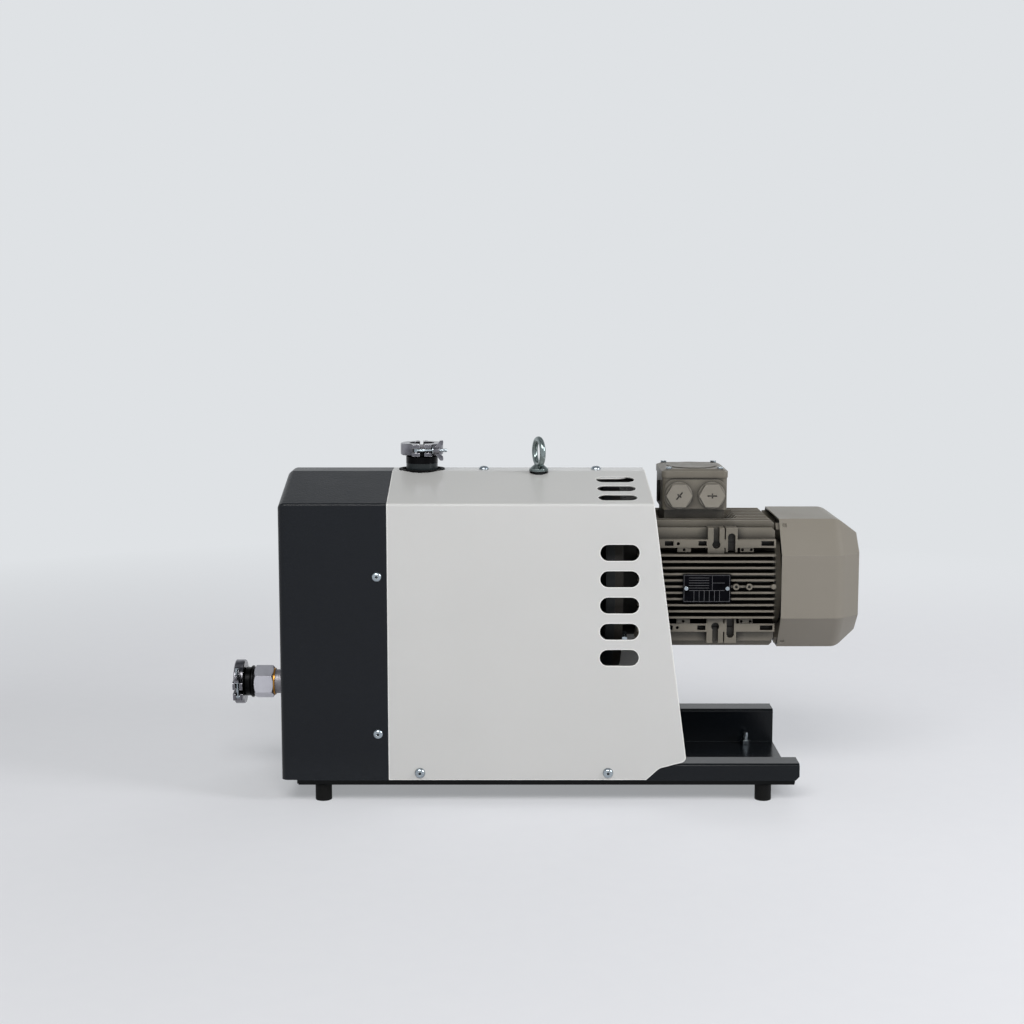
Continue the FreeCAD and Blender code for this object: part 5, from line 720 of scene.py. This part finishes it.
def turnHex(setup):
    # hexagon socket with a flat to the front, its ends turned down to a cone, and a bore for the nipple
    low, high = (Vector(corner) * 1000 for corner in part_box("exhaust_socket"))
    axisZ = (low.z + high.z) / 2
    flat = setup["flats"] / 2
    tip = flat / math.cos(math.pi / 6)

    def ends(side):
        # x and radius of each ring, from the bore at the low end to the bore at the high one
        cut = setup["chamfer"] * (side - flat) / (tip - flat)
        return ((low.x, setup["bore"]), (low.x, flat), (low.x + cut, side),
                (high.x - cut, side), (high.x, flat), (high.x, setup["bore"]))

    shape = bmesh.new()
    bmesh.ops.create_circle(shape, segments=setup["segments"], radius=1)
    ring = shape.edges[:]
    for step in range(len(ends(flat)) - 1):
        made = bmesh.ops.extrude_edge_only(shape, edges=ring)["geom"]
        ring = [item for item in made if isinstance(item, bmesh.types.BMEdge) and item.is_boundary]
        moved = [item for item in made if isinstance(item, bmesh.types.BMVert)]
        bmesh.ops.translate(shape, verts=moved, vec=(0, 0, 1))
    bmesh.ops.bridge_loops(shape, edges=[edge for edge in shape.edges if edge.is_boundary])
    for vert in shape.verts:
        turn = math.atan2(vert.co.y, vert.co.x)
        side = flat / math.cos((turn + math.pi / 6) % (math.pi / 3) - math.pi / 6)
        x, radius = ends(side)[round(vert.co.z)]
        vert.co = Vector((x, radius * math.cos(turn), axisZ + radius * math.sin(turn))) / 1000
    return shape


finishPiece(turnHex(hexSetup), "exhaustHex", "casing", "satinNickel",
            hides=["exhaust_socket"])


skirtSetup = {
    # notch at the foot of the light hood, in mm
    "from": 140.0,            # along x, where the notch starts
    "below": 57.0,            # the height that it stays under
    "lift": ((142.8, 155.0, 184.0), (0.0, 4.8, 8.0)),     # places along x, and how far its edge rises there
    "draw": ((32.0, 43.6, 48.0), (-7.2, -2.0, 0.0)),      # heights, and how far its edge moves along x there
    "sharpAngle": 25,         # degrees
}


def trimSkirt(setup):
    # a merged copy of the light hood with the corner of its skirt cut higher, as the photograph has it
    shape = bmesh.new()
    shape.from_mesh(nodes["main_hood"].data)
    bmesh.ops.remove_doubles(shape, verts=shape.verts, dist=mergeDistance)
    for vert in shape.verts:
        x, z = vert.co.x * 1000, vert.co.z * 1000
        if x > setup["from"] and z < setup["below"]:
            vert.co.z += interp(x, *setup["lift"]) / 1000
            vert.co.x += interp(z, *setup["draw"]) / 1000
    bmesh.ops.dissolve_degenerate(shape, edges=shape.edges, dist=mergeDistance)
    for edge in shape.edges:
        edge.smooth = edge.calc_face_angle(0) < math.radians(setup["sharpAngle"])
    return shape


finishPiece(trimSkirt(skirtSetup), "mainHoodShell", "casing", "lightPowderCoat",
            hides=["main_hood"], smooth=True)


# camera, floor and lights

cameraSetup = {
    "place": (-0.0425, -2.400, 0.688),
    "pitch": 7.5,             # degrees down
    "focalLength": 61.52,
    "sensorWidth": 36,
    "nearest": 0.05,          # metres, where the view starts
}

lightSetup = {
    # place, aim and size in metres; a fill has no mirror image in the paint
    "frontSoftbox": {"place": (-0.6, -2.9, 3.2), "aim": (0.0, 0.0, 0.25), "size": (2.8, 1.5), "watts": 100,
                     "tint": "#fffefc", "fill": False},
    "lowSoftbox": {"place": (-0.2, -2.4, 0.35), "aim": (0.0, 0.0, 0.0), "size": (2.4, 0.4), "watts": 7.5,
                   "tint": "#ffffff", "fill": True},
    "topSoftbox": {"place": (0.1, 0.3, 2.4), "aim": (0.0, 0.0, 0.3), "size": (2.0, 1.2), "watts": 3,
                   "tint": "#ffffff", "fill": False},
    "rearSoftbox": {"place": (0.9, 3.0, 1.3), "aim": (0.0, 0.0, 0.25), "size": (1.8, 1.2), "watts": 38,
                    "tint": "#ffffff", "fill": True},
    "rightSoftbox": {"place": (2.3, -1.1, 1.5), "aim": (0.3, 0.0, 0.28), "size": (0.8, 1.2), "watts": 36,
                     "tint": "#fbfcff", "fill": False},
}

stageSetup = {
    "background": "#dfe2e5",
    "ceiling": "#5c6166",
    "ceilingRange": (0.35, 0.95),     # rise of the direction where the walls turn into the ceiling
    "floor": "#ebebef",
    "floorShade": "#e7e7ec",
    "mottleMm": 30,
    "floorRoughness": 0.9,
    "floorGloss": 0.2,
    "worldLight": 0.27,       # how much the room's own light adds
    "floorLift": 0.40,        # how far the floor near the object is taken towards the background
    "nearRadius": 1.0,        # metres, where the fade starts
    "farRadius": 2.3,         # and where only the background's colour is left
    "floorHalf": 6.0,
}


def makeCamera(setup):
    camera = bpy.data.objects.new("photoCamera", bpy.data.cameras.new("photoCamera"))
    camera.location = setup["place"]
    camera.rotation_euler = (math.radians(90 - setup["pitch"]), 0, 0)
    camera.data.lens = setup["focalLength"]
    camera.data.sensor_width = setup["sensorWidth"]
    camera.data.clip_start = setup["nearest"]
    scene.collection.objects.link(camera)
    scene.camera = camera


def seenRays(tree):
    # 1 for the rays that show the background: straight, in a reflection or through glass
    path = addNode(tree, "ShaderNodeLightPath")
    total = path.outputs["Is Camera Ray"]
    for ray in ("Is Glossy Ray", "Is Transmission Ray"):
        either = addNode(tree, "ShaderNodeMath", {0: total, 1: path.outputs[ray]}, operation="MAXIMUM")
        total = either.outputs[0]
    return total


def makeLights(lamps):
    # soft boxes, each turned to its aim
    for name, setup in lamps.items():
        lamp = bpy.data.objects.new(name, bpy.data.lights.new(name, "AREA"))
        lamp.data.shape = "RECTANGLE"
        lamp.data.size, lamp.data.size_y = setup["size"]
        lamp.data.energy = setup["watts"]
        lamp.data.color = hexColour(setup["tint"])[:3]
        lamp.location = setup["place"]
        lamp.rotation_euler = (Vector(setup["aim"]) - lamp.location).to_track_quat("-Z", "Y").to_euler()
        lamp.visible_camera = False
        lamp.visible_glossy = not setup["fill"]
        scene.collection.objects.link(lamp)


def makeWorld(stage):
    # pale walls under a grey ceiling, bright to the eye and low as a light
    world = bpy.data.worlds.new("studioWorld")
    world.use_nodes = True
    tree = world.node_tree
    sky = tree.nodes["Background"]
    direction = addNode(tree, "ShaderNodeTexCoord").outputs["Generated"]
    rise = addNode(tree, "ShaderNodeSeparateXYZ", {0: direction}).outputs["Z"]
    walls = layOver(tree, rise, stage["background"], stage["ceiling"], stage["ceilingRange"])
    tree.links.new(walls, sky.inputs[0])
    level = addNode(tree, "ShaderNodeMapRange", {"Value": seenRays(tree), "To Min": stage["worldLight"]})
    tree.links.new(level.outputs[0], sky.inputs[1])
    scene.world = world


def makeFloor(stage):
    # pale floor that keeps the object's shadow and fades into the background further out
    shape = bmesh.new()
    bmesh.ops.create_grid(shape, x_segments=1, y_segments=1, size=stage["floorHalf"])
    mesh = bpy.data.meshes.new("studioFloor")
    shape.to_mesh(mesh)
    shape.free()
    floor = bpy.data.objects.new("studioFloor", mesh)
    scene.collection.objects.link(floor)
    surface = {"Roughness": stage["floorRoughness"], "Specular IOR Level": stage["floorGloss"]}
    material, tree, shader, place = startMaterial("palePaperFloor", surface)
    patches = addNode(tree, "ShaderNodeTexNoise", spots(place, stage["mottleMm"], Detail=3))
    base = layOver(tree, patches.outputs["Fac"], stage["floor"], stage["floorShade"], wholeRange)
    tree.links.new(base, shader.inputs["Base Color"])
    distance = addNode(tree, "ShaderNodeVectorMath", {0: place}, operation="LENGTH").outputs["Value"]
    fade = addNode(tree, "ShaderNodeMapRange", {"Value": distance, "From Min": stage["nearRadius"],
                                                "From Max": stage["farRadius"], "To Min": stage["floorLift"]})
    seen = addNode(tree, "ShaderNodeMath", {0: fade.outputs[0], 1: seenRays(tree)}, operation="MULTIPLY")
    glow = addNode(tree, "ShaderNodeEmission", {"Color": stage["background"], "Strength": 1.0})
    both = addNode(tree, "ShaderNodeMixShader", {0: seen.outputs[0], 1: shader.outputs[0],
                                                 2: glow.outputs[0]})
    tree.links.new(both.outputs[0], tree.nodes["Material Output"].inputs["Surface"])
    mesh.materials.append(material)


makeCamera(cameraSetup)
makeLights(lightSetup)
makeWorld(stageSetup)
makeFloor(stageSetup)
print("camera, lights and floor are set")
